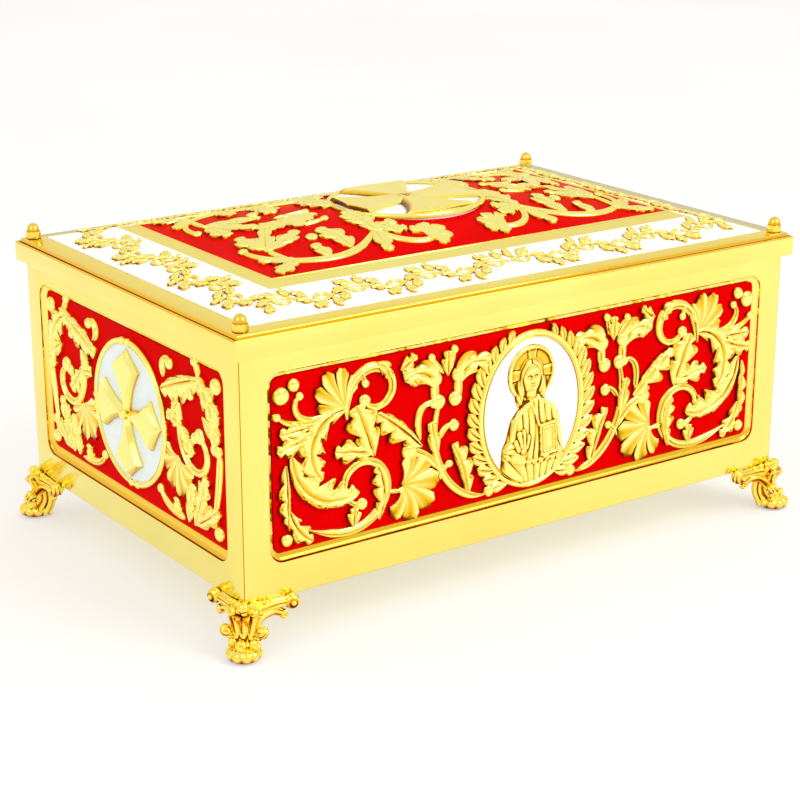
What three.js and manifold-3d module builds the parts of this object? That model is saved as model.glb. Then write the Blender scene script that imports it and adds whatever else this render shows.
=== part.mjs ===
// A gilt and enamelled reliquary casket on four cast acanthus feet, with a lift-off lid.
// Millimetres, +Z up. The origin is on the floor under the middle of the casket, the long side
// runs along X, and the front faces -Y.
import * as THREE from "three";
import { mergeVertices } from "three/addons/utils/BufferGeometryUtils.js";
import Module from "manifold-3d";

// ---- driving dimensions -----------------------------------------------------------------------
const BODY = { length: 400, width: 261, bottom: 30, height: 150, wall: 7, floor: 4 };
const WINDOW = { sideMargin: 21, bottom: 24.6, height: 102.4, corner: 5, depth: 5 };
const PLATE = { thickness: 1.7, gap: 0.3 };
const RELIEF = { leaf: 3, stem: 2.6, berry: 3, sink: 0.5 };
const LID = { overhang: 5, skirtBottom: 141.5, skirtHeight: 12.2, clearance: 0.6, sheet: 1.5 };
const BEAD = { height: 1.3, inset: 2.2, grooveDepth: 0.9, ledgeRise: 2.2 };
const BORDER = { insetX: 10.9, insetY: 8, rise: 2.9, thickness: 1.6 };
const BAND = { outerX: 44.8, outerY: 40, outerRise: 10.9, innerX: 52.9, innerY: 51.3, innerRise: 13.1 };
const DOME = { rise: 13, thickness: 1.6, columns: 6, rows: 4 };
const FRONT_MEDALLION = { width: 80, height: 98, ring: 4.5, thickness: 1.4, ringHeight: 3.4 };
const END_MEDALLION = { width: 89, height: 91, ring: 4, thickness: 1.2, ringHeight: 2.8 };
const LID_MEDALLION = { width: 104, height: 92, ring: 4, thickness: 1.4, ringHeight: 3 };
const FINIAL = { inset: 9, flats: 10, hexHeight: 5, height: 11.5 };
const FOOT = { pad: 9, wing: 37, wall: 4.2, seat: 16, seatThickness: 3 };

const SKIRT_TOP = BODY.bottom + LID.skirtBottom + LID.skirtHeight;
const HALF_X = BODY.length / 2;
const HALF_Y = BODY.width / 2;
const PANEL_HALF_X = HALF_X - BAND.innerX;
const PANEL_HALF_Y = HALF_Y - BAND.innerY;
const END_SIDE_MARGIN = WINDOW.sideMargin - 0.5;

// ---- finishes ---------------------------------------------------------------------------------
const finish = (color, roughness, metalness) =>
  new THREE.MeshStandardMaterial({ color, roughness, metalness });
const POLISHED_GOLD = finish(0xf3d468, 0.12, 1);
const CAST_GOLD = finish(0xe8b93c, 0.22, 1);
const RED_ENAMEL = finish(0xd80a06, 0.25, 0.1);
const WHITE_ENAMEL = finish(0xf6f6f2, 0.25, 0);

// ---- shapes -----------------------------------------------------------------------------------
// Every shape is a three.js geometry. Only carve passes shapes to manifold-3d and back.
const wasm = await Module();
wasm.setup();
const radians = THREE.MathUtils.degToRad;

function toSolid(geometry) {
  const bare = geometry.clone();
  bare.deleteAttribute("normal");
  bare.deleteAttribute("uv");
  const merged = geometry.userData.isClosed ? bare : mergeVertices(bare, 1e-4);
  return new wasm.Manifold(
    new wasm.Mesh({
      numProp: 3,
      vertProperties: new Float32Array(merged.attributes.position.array),
      triVerts: new Uint32Array(merged.index.array),
    }),
  );
}

function toGeometry({ positions, triangles }) {
  const geometry = new THREE.BufferGeometry();
  geometry.setAttribute("position", new THREE.BufferAttribute(positions, 3));
  geometry.setIndex(new THREE.BufferAttribute(triangles, 1));
  geometry.userData.isClosed = true;
  return geometry;
}

function fromSolid(solid) {
  const { vertProperties, triVerts } = solid.getMesh();
  return toGeometry({ positions: vertProperties, triangles: triVerts });
}

// Joins the pieces into one and takes the holes out of it.
function carve(pieces, holes = []) {
  const joined = pieces.map(toSolid).reduce((whole, piece) => whole.add(piece));
  return fromSolid(holes.map(toSolid).reduce((rest, hole) => rest.subtract(hole), joined));
}

// A copy reflected in the plane x = 0 or y = 0, with its faces turned back outwards.
function reflected(geometry, axis) {
  const copy = geometry.clone().scale(axis === "x" ? -1 : 1, axis === "y" ? -1 : 1, 1);
  const { array } = copy.index;
  for (let i = 0; i < array.length; i += 3) {
    [array[i], array[i + 1]] = [array[i + 1], array[i]];
  }
  return copy;
}

function withReflections(geometries, axis) {
  return [...geometries, ...geometries.map((geometry) => reflected(geometry, axis))];
}

// A closed shape from its corners and its faces, turned the right way out.
function fromFaces(corners, faces) {
  const triangles = faces.flatMap((face) =>
    face.slice(2).map((last, i) => [face[0], face[i + 1], last]),
  );
  const at = (i) => new THREE.Vector3(...corners[i]);
  const volume = triangles.reduce((sum, [a, b, c]) => sum + at(a).dot(at(b).cross(at(c))), 0);
  const outward = volume < 0 ? triangles.map(([a, b, c]) => [a, c, b]) : triangles;
  return toGeometry({
    positions: new Float32Array(corners.flat()),
    triangles: new Uint32Array(outward.flat()),
  });
}

// Level rings of equally many corners, joined by straight sides and closed at both ends.
function fromRings(rings) {
  const sides = rings[0].length;
  const around = Array.from({ length: sides }, (_, i) => i);
  const faces = [around.toReversed()];
  for (let level = 0; level + 1 < rings.length; level++) {
    const a = level * sides;
    for (const i of around) {
      const next = (i + 1) % sides;
      faces.push([a + i, a + next, a + sides + next, a + sides + i]);
    }
  }
  faces.push(around.map((i) => (rings.length - 1) * sides + i));
  return fromFaces(rings.flat(), faces);
}

function rectangleRing([x, y, z]) {
  return [
    [-x, -y, z],
    [x, -y, z],
    [x, y, z],
    [-x, y, z],
  ];
}

function polygonRing(x, y, z, radius, sides, start = 0) {
  return Array.from({ length: sides }, (_, i) => {
    const angle = start + (Math.PI * 2 * i) / sides;
    return [x + radius * Math.cos(angle), y + radius * Math.sin(angle), z];
  });
}

function box(x0, x1, y0, y1, z0, z1) {
  const geometry = new THREE.BoxGeometry(x1 - x0, y1 - y0, z1 - z0);
  return geometry.translate((x0 + x1) / 2, (y0 + y1) / 2, (z0 + z1) / 2);
}

function roundedRectangle(width, height, radius) {
  const shape = new THREE.Shape();
  const corners = [
    [width / 2 - radius, height / 2 - radius, 0],
    [radius - width / 2, height / 2 - radius, 90],
    [radius - width / 2, radius - height / 2, 180],
    [width / 2 - radius, radius - height / 2, 270],
  ];
  for (const [x, y, start] of corners) {
    shape.absarc(x, y, radius, radians(start), radians(start + 90));
  }
  return shape;
}

// A plate of the given shape in the XY plane, from z = 0 up.
function plate(shape, depth, curveSegments = 1) {
  return new THREE.ExtrudeGeometry(shape, { depth, bevelEnabled: false, curveSegments });
}

// ---- ornament: ribs, leaves and berries on a panel, x along it, y up it, z out of it ------------
// They stand on level ground at z = 0, or sink a little into ground that is curved or sloping.
const FLAT = () => 0;
const rootDepth = (ground, x, y) => (ground === FLAT ? 0 : ground(x, y) - RELIEF.sink);

// The middle line of a stem or leaf. It leaves (x, y) at a heading in degrees and turns by `turn`
// over its length, evenly when `tighten` is 1 and more and more when it is larger.
function middleLine(x, y, heading, length, turn, tighten, steps) {
  const line = [];
  const point = { x, y };
  for (let i = 0; i <= steps; i++) {
    line.push({ ...point, angle: radians(heading + turn * (i / steps) ** tighten) });
    const fine = 8;
    for (let j = 0; j < fine; j++) {
      const along = (i + (j + 0.5) / fine) / steps;
      const angle = radians(heading + turn * along ** tighten);
      point.x += (Math.cos(angle) * length) / steps / fine;
      point.y += (Math.sin(angle) * length) / steps / fine;
    }
  }
  return line;
}

// A rib with a sharp back: three corners at each station [left, right, back height, forward].
function rib(line, stations, ground = FLAT) {
  const corners = line.flatMap(({ x, y, angle }, i) => {
    const [left, right, height, forward] = stations[i];
    const along = { x: Math.cos(angle), y: Math.sin(angle) };
    const edge = (offset) => {
      const px = x - along.y * offset + along.x * forward;
      const py = y + along.x * offset + along.y * forward;
      return [px, py, rootDepth(ground, px, py)];
    };
    return [edge(left), [x, y, ground(x, y) + height], edge(-right)];
  });
  const faces = [[0, 1, 2]];
  for (let i = 0; i + 1 < line.length; i++) {
    const a = i * 3;
    const b = a + 3;
    faces.push([a, b, b + 1, a + 1], [a + 1, b + 1, b + 2, a + 2], [a + 2, b + 2, b, a]);
  }
  const end = (line.length - 1) * 3;
  faces.push([end + 2, end + 1, end]);
  return fromFaces(corners, faces);
}

const DEGREES_A_STEP = 45;
const MILLIMETRES_A_STEP = 26;

function stem([x, y, heading, length, turn, tighten, root, tip], ground = FLAT) {
  const steps = Math.max(
    2,
    Math.round(Math.abs(turn) / DEGREES_A_STEP),
    Math.round(length / MILLIMETRES_A_STEP),
  );
  const line = middleLine(x, y, heading, length, turn, tighten, steps);
  const stations = line.map((_, i) => {
    const half = (root + ((tip - root) * i) / steps) / 2;
    return [half, half, RELIEF.stem, 0];
  });
  return rib(line, stations, ground);
}

// A lobed leaf: it swells and narrows along its rib, and each lobe points forward. `side` is 1 or
// -1 when only the left or the right edge is lobed.
function leaf([x, y, heading, length, turn, width, lobes, side], ground = FLAT) {
  const steps = 2 * lobes + 1;
  const line = middleLine(x, y, heading, length, turn, 1, steps);
  const stations = line.map((_, i) => {
    const along = i / steps;
    const swell = (width / 2) * Math.sin(Math.PI * (0.1 + 0.86 * along));
    const isLobe = i % 2 === 1;
    const edge = (thisSide) => {
      if (side !== 0 && side !== thisSide) return swell * 0.5;
      return swell * (isLobe ? 1.15 : 0.55) * (side === 0 ? 1 : 1.35);
    };
    return [edge(1), edge(-1), RELIEF.leaf * (1 - 0.35 * along), isLobe ? swell * 0.35 : 0];
  });
  return rib(line, stations, ground);
}

// A fan leaf: its lobes spread from the stalk and are shorter at the sides.
function fanLeaf([x, y, heading, radius, spread, lobes], ground = FLAT) {
  const rim = [];
  for (let i = 0; i <= 2 * lobes; i++) {
    const across = i / lobes - 1;
    const angle = radians(heading + spread * across);
    const reach = radius * (i % 2 ? 1 : 0.84) * (1 - 0.5 * across * across);
    rim.push([x + reach * Math.cos(angle), y + reach * Math.sin(angle)]);
  }
  const outline = [[x, y], ...rim];
  const back = 0.42 * radius;
  const crown = [x + back * Math.cos(radians(heading)), y + back * Math.sin(radians(heading))];
  const corners = [
    ...outline.map(([px, py]) => [px, py, rootDepth(ground, px, py)]),
    [...crown, ground(...crown) + RELIEF.leaf],
    [...crown, rootDepth(ground, ...crown)],
  ];
  const count = outline.length;
  const faces = outline.flatMap((_, i) => {
    const next = (i + 1) % count;
    return [
      [i, next, count],
      [next, i, count + 1],
    ];
  });
  return fromFaces(corners, faces);
}

// A berry or a rolled stem end: a low six-sided dome.
function berry([x, y, radius], ground = FLAT) {
  const foot = polygonRing(x, y, 0, radius, 6).map(([px, py]) => [px, py, rootDepth(ground, px, py)]);
  const crown = polygonRing(x, y, ground(x, y) + RELIEF.berry, radius * 0.5, 6);
  return fromRings([foot, crown]);
}

function ornament({ stems = [], leaves = [], fans = [], berries = [] }, ground) {
  return [
    ...stems.map((numbers) => stem(numbers, ground)),
    ...leaves.map((numbers) => leaf(numbers, ground)),
    ...fans.map((numbers) => fanLeaf(numbers, ground)),
    ...berries.map((numbers) => berry(numbers, ground)),
  ];
}

// The plainer scrollwork of the hidden sides keeps the scrolls, the fan leaves and large leaves.
const PLAIN_LEAF = 50;
const PLAIN_STEM = 40;
function plainer({ stems, leaves, fans }) {
  return {
    stems: stems.filter((numbers) => numbers[3] > PLAIN_STEM),
    leaves: leaves.filter((numbers) => numbers[3] > PLAIN_LEAF),
    fans,
  };
}

// Half of the long panel's scrollwork, x outwards from the middle of the panel, y up.
// stems: x, y, heading, length, turn, tighten, width at the root, width at the tip
// leaves: x, y, heading, length, turn, width, lobes, lobed side
// fans: x, y, heading, radius, spread, lobes
// berries: x, y, radius
const LONG_PANEL = {
  stems: [
    [157, -38, 203, 130, -385, 1.8, 6, 4],
    [131, 19, 89, 84, 335, 1.55, 6, 4],
    [34, -46, -12, 84, 122, 0.65, 6, 4],
    [148, 22, -6, 28, 50, 1.6, 4.5, 3.5],
    [81, -3, 80, 28, 130, 2.4, 4, 5],
    [68, -24, 62, 26, -50, 1, 4, 8],
    [69, 16, 92, 35, -150, 2.2, 10, 5],
    [55, 16, 88, 35, 150, 2.2, 10, 5],
  ],
  leaves: [
    [130, 25, 4, 56, -140, 15, 3, 0],
    [114, -6, 70, 33, -4, 18, 2, 0],
    [167, 4, -90, 60, -112, 19, 2, 0],
    [169, -30, -96, 20, -50, 10, 1, 0],
    [116, -46, 116, 35, -50, 12, 2, -1],
    [80, -7, 48, 39, -12, 17, 2, -1],
    [46, -43, 84, 35, -22, 14, 2, 1],
    [62, 32, 90, 17, 0, 12, 1, 0],
  ],
  fans: [
    [134, 26, 56, 24, 52, 4],
    [99, -32, 180, 34, 66, 4],
  ],
  berries: [
    [173, 40, 5],
    [171, -44, 4],
  ],
};

// Half of the end panel's scrollwork.
const END_PANEL = {
  stems: [
    [61, 23, -98, 84, 305, 1.9, 5.5, 4],
    [105, 6, -95, 40, -10, 1, 5, 4],
    [64, -46, 180, 32, -60, 2.2, 5, 3.5],
  ],
  leaves: [
    [43, 30, 18, 45, 4, 13, 2, 0],
    [76, 41, -14, 35, -58, 15, 2, 0],
    [69, -46, 82, 24, -14, 10, 1, 0],
    [75, -45, 62, 36, 4, 12, 2, 0],
  ],
  fans: [[66, -9, 236, 28, 66, 3]],
  berries: [
    [102, 43, 5],
    [102, -43, 4.5],
  ],
};

// A quarter of the lid's scrollwork, x outwards and y from the middle to the front.
const LID_PANEL = {
  stems: [
    [54, -45, -97, 44, -112, 1.3, 5, 3.5],
    [57, -46, -50, 104, 140, 1.4, 6.5, 4],
  ],
  leaves: [
    [54, -43, 97, 34, -6, 15, 2, 0],
    [122, -36, 158, 36, -10, 14, 1, 0],
    [124, -32, 122, 40, 0, 14, 1, 0],
  ],
  fans: [[31, -65, 158, 20, 78, 3]],
};

// ---- walls and casket box ---------------------------------------------------------------------
const casket = new THREE.Group();
const LONG_WINDOW = BODY.length - 2 * WINDOW.sideMargin;
const END_WINDOW = BODY.width - 2 * END_SIDE_MARGIN;
const WINDOW_MIDDLE = BODY.bottom + WINDOW.bottom + WINDOW.height / 2;
// The enamelled ground lies this far behind the face of the frame.
const GROUND_DEPTH = WINDOW.depth - PLATE.gap - PLATE.thickness;

// A group on each wall with its origin in the middle of the window, x along the wall, y up and z out.
function wallGroup(turn, reach) {
  const side = new THREE.Group();
  side.rotation.z = radians(turn);
  const face = new THREE.Group();
  face.position.set(0, -reach, WINDOW_MIDDLE);
  face.rotation.x = Math.PI / 2;
  side.add(face);
  casket.add(side);
  casket.updateMatrixWorld(true);
  return face;
}

const WALLS = {
  front: { group: wallGroup(0, HALF_Y), window: LONG_WINDOW },
  right: { group: wallGroup(90, HALF_X), window: END_WINDOW },
  back: { group: wallGroup(180, HALF_Y), window: LONG_WINDOW },
  left: { group: wallGroup(270, HALF_X), window: END_WINDOW },
};

function casketBox() {
  const { length, width, bottom, height, wall, floor } = BODY;
  const outside = box(-length / 2, length / 2, -width / 2, width / 2, bottom, bottom + height);
  const inside = box(
    wall - length / 2,
    length / 2 - wall,
    wall - width / 2,
    width / 2 - wall,
    bottom + floor,
    bottom + height + 1,
  );
  const pockets = Object.values(WALLS).map(({ group, window }) => {
    const outline = roundedRectangle(window, WINDOW.height, WINDOW.corner);
    const pocket = plate(outline, WINDOW.depth + 1).translate(0, 0, -WINDOW.depth);
    return pocket.applyMatrix4(group.matrixWorld);
  });
  return carve([outside], [inside, ...pockets]);
}

// ---- window panels ----------------------------------------------------------------------------
function windowPanel(window, medallion, scrollwork, surround = []) {
  const width = window - 2 * PLATE.gap;
  const height = WINDOW.height - 2 * PLATE.gap;
  const outline = roundedRectangle(width, height, WINDOW.corner);
  const ground = plate(outline, PLATE.thickness).translate(0, 0, -PLATE.thickness);
  const spare = 2 * PLATE.gap;
  const clear = oval(medallion.width / 2 + spare, medallion.height / 2 + spare);
  const half = [...ornament(scrollwork), ...surround];
  return carve([ground, ...withReflections(half, "x")], [plate(clear, WINDOW.depth, OVAL_SEGMENTS)]);
}

// ---- medallions -------------------------------------------------------------------------------
const OVAL_SEGMENTS = 8;
function oval(radiusX, radiusY) {
  const shape = new THREE.Shape();
  shape.absellipse(0, 0, radiusX, radiusY, 0, Math.PI * 2);
  return shape;
}

// An oval plate with a raised ring.
function medallionPlate({ width, height, ring, thickness, ringHeight }) {
  const outer = plate(oval(width / 2, height / 2), ringHeight, OVAL_SEGMENTS);
  const well = plate(oval(width / 2 - ring, height / 2 - ring), ringHeight, OVAL_SEGMENTS);
  return { solid: outer, hollow: well.translate(0, 0, thickness) };
}

// One arm of the cross: narrow at the middle, flared, and closed by a shallow point.
function crossArm(length, waist, flare, point, height) {
  const shoulder = length - point;
  const corners = [
    [0, -waist / 2, 0],
    [shoulder, -flare / 2, 0],
    [length, 0, 0],
    [shoulder, flare / 2, 0],
    [0, waist / 2, 0],
    [0, 0, height],
    [shoulder - point * 0.4, 0, height],
  ];
  const faces = [
    [4, 3, 2, 1, 0],
    [0, 1, 6, 5],
    [1, 2, 6],
    [2, 3, 6],
    [3, 4, 5, 6],
    [4, 0, 5],
  ];
  return fromFaces(corners, faces);
}

function cross({ length, waist, flare, point, height, stretch = 1 }) {
  const arms = [0, 90, 180, 270].map((turn) => {
    const reach = turn % 180 ? length : length * stretch;
    return crossArm(reach, waist, flare, point, height).rotateZ(radians(turn));
  });
  return [...arms, box(-waist / 2, waist / 2, -waist / 2, waist / 2, 0, height * 0.8)];
}

const END_CROSS = { length: 39, waist: 12, flare: 29, point: 13, height: 4.6 };
const LID_CROSS = { length: 37, waist: 17, flare: 46, point: 5, height: 3.6, stretch: 1.14 };
const BACK_CROSS = { length: 38, waist: 12, flare: 27, point: 11, height: 4, stretch: 0.8 };

// The raised parts stand in the hollow of the plate and reach a little into its floor.
function medallion(size, raised) {
  const { solid, hollow } = medallionPlate(size);
  const floor = size.thickness - PLATE.gap;
  return carve([carve([solid], [hollow]), ...raised.map((part) => part.translate(0, 0, floor))]);
}

function crossMedallion(size, crossSize, boss) {
  const raised = cross(crossSize);
  if (boss > 0) raised.push(knob(0, 0, crossSize.height - 0.3, boss, boss, boss));
  return medallion(size, raised);
}

// Half of the wreath around the front medallion: a rib along the ring, toothed like leaves.
const WREATH = { leaves: 7, from: -52, to: 58, reach: 10, notch: 3.5, lean: 3 };
function wreath({ width, height }) {
  const { leaves, from, to, reach, notch, lean } = WREATH;
  const line = [];
  const stations = [];
  for (let i = 0; i <= 2 * leaves; i++) {
    const place = radians(from + ((to - from) * i) / (2 * leaves));
    const x = (width / 2 - 1) * Math.cos(place);
    const y = (height / 2 - 1) * Math.sin(place);
    line.push({ x, y, angle: Math.atan2(height * Math.cos(place), -width * Math.sin(place)) });
    const isTip = i % 2 === 1;
    stations.push([1, isTip ? reach : notch, RELIEF.leaf, isTip ? lean : 0]);
  }
  return rib(line, stations);
}

// A low mound with a flat crown.
function mound(x, y, z, radiusX, radiusY, height, sides = 6) {
  const foot = polygonRing(0, 0, 0, 1, sides);
  const crown = polygonRing(0, 0, height, 0.55, sides);
  return fromRings([foot, crown]).scale(radiusX, radiusY, 1).translate(x, y, z);
}

// A knob of twenty faces.
function knob(x, y, z, radiusX, radiusY, radiusZ) {
  const round = new THREE.IcosahedronGeometry(1, 0).deleteAttribute("normal").deleteAttribute("uv");
  return mergeVertices(round).scale(radiusX, radiusY, radiusZ).translate(x, y, z);
}

// The half-length figure: halo, head with long hair and beard, mantle in folds, raised hand, book.
const FIGURE = {
  head: { x: 0, y: 24, halfWidth: 6, halfHeight: 8 },
  halo: 17,
  shoulder: 3,
  bottom: -43,
  halfWidth: 24,
};
function figure() {
  const { head, halo, shoulder, bottom, halfWidth } = FIGURE;
  const disc = fromRings([0, 2.2].map((z) => polygonRing(head.x, head.y - 2, z, halo, 12)));
  const body = fromFaces(
    [
      [-halfWidth, bottom + 9, 0],
      [-halfWidth * 0.6, bottom, 0],
      [halfWidth * 0.6, bottom, 0],
      [halfWidth, bottom + 9, 0],
      [halfWidth * 0.84, shoulder - 6, 0],
      [5, shoulder + 6, 0],
      [-5, shoulder + 6, 0],
      [-halfWidth * 0.84, shoulder - 6, 0],
      [-halfWidth * 0.6, bottom + 12, 4.5],
      [halfWidth * 0.6, bottom + 12, 4.5],
      [halfWidth * 0.55, shoulder - 9, 4],
      [-halfWidth * 0.55, shoulder - 9, 4],
      [0, shoulder + 2, 4.5],
    ],
    [
      [7, 6, 5, 4, 3, 2, 1, 0],
      [0, 1, 8],
      [1, 2, 9, 8],
      [2, 3, 9],
      [3, 4, 10, 9],
      [4, 5, 12, 10],
      [5, 6, 12],
      [6, 7, 11, 12],
      [7, 0, 8, 11],
      [8, 9, 10, 12, 11],
    ],
  );
  const hair = mound(head.x, head.y - 1, 1.8, head.halfWidth + 5, head.halfHeight + 6, 3, 8);
  const face = mound(head.x, head.y, 4.5, head.halfWidth, head.halfHeight, 2.6, 8);
  const beard = mound(head.x, head.y - 8, 4.3, 4, 4.5, 2.2);
  const folds = [
    [-15, -2, -75, 34, 30, 5, 1, 0],
    [15, -3, -100, 30, -10, 5, 1, 0],
    [-10, -30, 10, 26, 10, 6, 1, 0],
    [2, -4, -95, 20, 10, 5, 1, 0],
  ].map((numbers) => leaf(numbers).translate(0, 0, 3.6));
  const hand = mound(-3, -19, 4.2, 3.6, 5.5, 3.4);
  const book = box(-6, 6, -9.5, 9.5, 0, 3.4).rotateZ(radians(-6)).translate(16, -23, 3.4);
  return [disc, body, hair, face, beard, ...folds, hand, book];
}

function endMedallion() {
  return crossMedallion(END_MEDALLION, END_CROSS, 3);
}

function backMedallion() {
  return crossMedallion(FRONT_MEDALLION, BACK_CROSS, 2.6);
}

function figureMedallion() {
  return medallion(FRONT_MEDALLION, figure());
}

// ---- lid --------------------------------------------------------------------------------------
// Height above the skirt of the hipped surface that carries the plates, at a place on the lid.
function hipRise(x, y) {
  const rise = (inset, low, high, lowRise, highRise) =>
    lowRise + ((inset - low) / (high - low)) * (highRise - lowRise);
  const alongX = rise(HALF_X - Math.abs(x), BORDER.insetX, BAND.outerX, BORDER.rise, BAND.outerRise);
  const alongY = rise(HALF_Y - Math.abs(y), BORDER.insetY, BAND.outerY, BORDER.rise, BAND.outerRise);
  return Math.min(alongX, alongY);
}

function domeRise(x, y) {
  const across = Math.min(1, Math.abs(x) / PANEL_HALF_X);
  const along = Math.min(1, Math.abs(y) / PANEL_HALF_Y);
  return BAND.innerRise + DOME.rise * (1 - across ** 2) * (1 - along ** 2);
}

// The plates lie on a hipped seat this far below their tops.
const SEAT_DROP = BORDER.thickness + PLATE.gap;

function lidShell() {
  const x = HALF_X + LID.overhang;
  const y = HALF_Y + LID.overhang;
  const { height: bead, inset, grooveDepth, ledgeRise } = BEAD;
  const skirtBottom = SKIRT_TOP - LID.skirtHeight;
  const levels = [
    [x, y, skirtBottom],
    [x, y, SKIRT_TOP - 0.6],
    [x - 0.6, y - 0.6, SKIRT_TOP],
    [x - inset, y - inset, SKIRT_TOP],
    [x - inset, y - inset, SKIRT_TOP - grooveDepth + bead],
    [x - inset - 1, y - inset - 1, SKIRT_TOP + ledgeRise],
    [HALF_X - BORDER.insetX + 0.5, HALF_Y - BORDER.insetY + 0.5, SKIRT_TOP + ledgeRise],
    [HALF_X - BORDER.insetX, HALF_Y - BORDER.insetY, SKIRT_TOP + BORDER.rise - SEAT_DROP],
    [HALF_X - BAND.outerX, HALF_Y - BAND.outerY, SKIRT_TOP + BAND.outerRise - SEAT_DROP],
    [PANEL_HALF_X, PANEL_HALF_Y, SKIRT_TOP + BAND.innerRise - SEAT_DROP],
  ];
  const innerX = HALF_X + LID.clearance;
  const innerY = HALF_Y + LID.clearance;
  const rim = BODY.bottom + BODY.height + PLATE.gap;
  const well = box(-innerX, innerX, -innerY, innerY, skirtBottom - 1, rim);
  const under = SEAT_DROP + LID.sheet;
  const hollow = [
    [HALF_X - BODY.wall, HALF_Y - BODY.wall, rim - 1],
    [HALF_X - BODY.wall, HALF_Y - BODY.wall, SKIRT_TOP - 2],
    [HALF_X - BAND.outerX, HALF_Y - BAND.outerY, SKIRT_TOP + BAND.outerRise - under],
    [PANEL_HALF_X, PANEL_HALF_Y, SKIRT_TOP + BAND.innerRise - under],
  ];
  const outside = fromRings(levels.map(rectangleRing));
  return carve([outside], [well, fromRings(hollow.map(rectangleRing))]);
}

// A sloping frame plate between two level rectangles [half length, half width, rise of its top].
function frameSlope(outer, inner, thickness) {
  const lift = ([x, y, z]) => [x, y, SKIRT_TOP + z];
  const drop = ([x, y, z]) => [x, y, SKIRT_TOP + z - thickness];
  const corners = [lift(outer), lift(inner), drop(inner), drop(outer)].flatMap(rectangleRing);
  const faces = [];
  for (let loop = 0; loop < 4; loop++) {
    for (let side = 0; side < 4; side++) {
      const next = (side + 1) % 4;
      const a = loop * 4;
      const b = ((loop + 1) % 4) * 4;
      faces.push([a + side, a + next, b + next, b + side]);
    }
  }
  return fromFaces(corners, faces);
}

// Leaf sprays that run along the white border, from the middle of each side to its corners.
const SPRAY = { pitch: 52, leaf: 32, width: 11, sway: 12, endGap: 20 };
function borderSide(halfLength, distance, turn) {
  const sprays = [];
  const count = Math.floor((halfLength - SPRAY.endGap) / SPRAY.pitch);
  const start = (halfLength - SPRAY.endGap - (count - 1) * SPRAY.pitch) / 2;
  const ground = (px, py) => (turn % 180 ? hipRise(py, px) : hipRise(px, py));
  for (let i = 0; i < count; i++) {
    const x = start - SPRAY.pitch / 2 + i * SPRAY.pitch;
    const sway = i % 2 ? SPRAY.sway : -SPRAY.sway;
    sprays.push(leaf([x, -distance, sway, SPRAY.leaf, -sway, SPRAY.width, 1, 0], ground));
  }
  return withReflections(sprays, "x").map((spray) => spray.rotateZ(radians(turn)));
}

function lidBorder() {
  const frame = frameSlope(
    [HALF_X - BORDER.insetX - PLATE.gap, HALF_Y - BORDER.insetY - PLATE.gap, BORDER.rise],
    [HALF_X - BAND.outerX + PLATE.gap, HALF_Y - BAND.outerY + PLATE.gap, BAND.outerRise],
    BORDER.thickness,
  );
  const middleX = HALF_X - (BORDER.insetX + BAND.outerX) / 2;
  const middleY = HALF_Y - (BORDER.insetY + BAND.outerY) / 2;
  const sprays = [
    ...borderSide(HALF_X, middleY, 0),
    ...borderSide(HALF_X, middleY, 180),
    ...borderSide(HALF_Y, middleX, 90),
    ...borderSide(HALF_Y, middleX, 270),
  ].map((spray) => spray.translate(0, 0, SKIRT_TOP));
  return carve([frame, ...sprays]);
}

function lidBand() {
  return frameSlope(
    [HALF_X - BAND.outerX - PLATE.gap, HALF_Y - BAND.outerY - PLATE.gap, BAND.outerRise],
    [PANEL_HALF_X + PLATE.gap, PANEL_HALF_Y + PLATE.gap, BAND.innerRise],
    BORDER.thickness,
  );
}

// The pillow-shaped plate: a grid over the dome on top, and flat below.
function domePlate() {
  const { columns, rows } = DOME;
  const corners = [];
  for (const isTop of [true, false]) {
    for (let j = 0; j <= rows; j++) {
      for (let i = 0; i <= columns; i++) {
        const x = PANEL_HALF_X * ((2 * i) / columns - 1);
        const y = PANEL_HALF_Y * ((2 * j) / rows - 1);
        const under = DOME.thickness;
        corners.push([x, y, isTop ? domeRise(x, y) : domeRise(x, y) - under]);
      }
    }
  }
  const row = columns + 1;
  const layer = row * (rows + 1);
  const faces = [];
  for (let j = 0; j < rows; j++) {
    for (let i = 0; i < columns; i++) {
      const a = j * row + i;
      faces.push([a, a + 1, a + row + 1, a + row]);
      faces.push([a + layer, a + row + layer, a + row + 1 + layer, a + 1 + layer]);
    }
  }
  for (let i = 0; i < columns; i++) {
    const far = rows * row + i;
    faces.push([i + 1, i, i + layer, i + 1 + layer]);
    faces.push([far, far + 1, far + 1 + layer, far + layer]);
  }
  for (let j = 0; j < rows; j++) {
    const a = j * row;
    const b = a + columns;
    faces.push([a, a + row, a + row + layer, a + layer]);
    faces.push([b + row, b, b + layer, b + row + layer]);
  }
  return fromFaces(corners, faces);
}

// The medallion is let into an oval seat in the dome, level at this rise, with a pad under it.
const MEDALLION_RISE = domeRise(LID_MEDALLION.width / 2, 0) - 1.2;
const SEAT_PAD = 3.2;
function lidPanel() {
  const quarter = ornament(LID_PANEL, domeRise);
  const relief = withReflections(withReflections(quarter, "y"), "x");
  const spare = 2 * PLATE.gap;
  const outline = oval(LID_MEDALLION.width / 2 + spare, LID_MEDALLION.height / 2 + spare);
  const pad = plate(outline, SEAT_PAD, OVAL_SEGMENTS).translate(0, 0, MEDALLION_RISE - SEAT_PAD);
  const seat = plate(outline, DOME.rise, OVAL_SEGMENTS).translate(0, 0, MEDALLION_RISE);
  return carve([carve([domePlate(), ...relief], [seat]), pad]).translate(0, 0, SKIRT_TOP);
}

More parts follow.
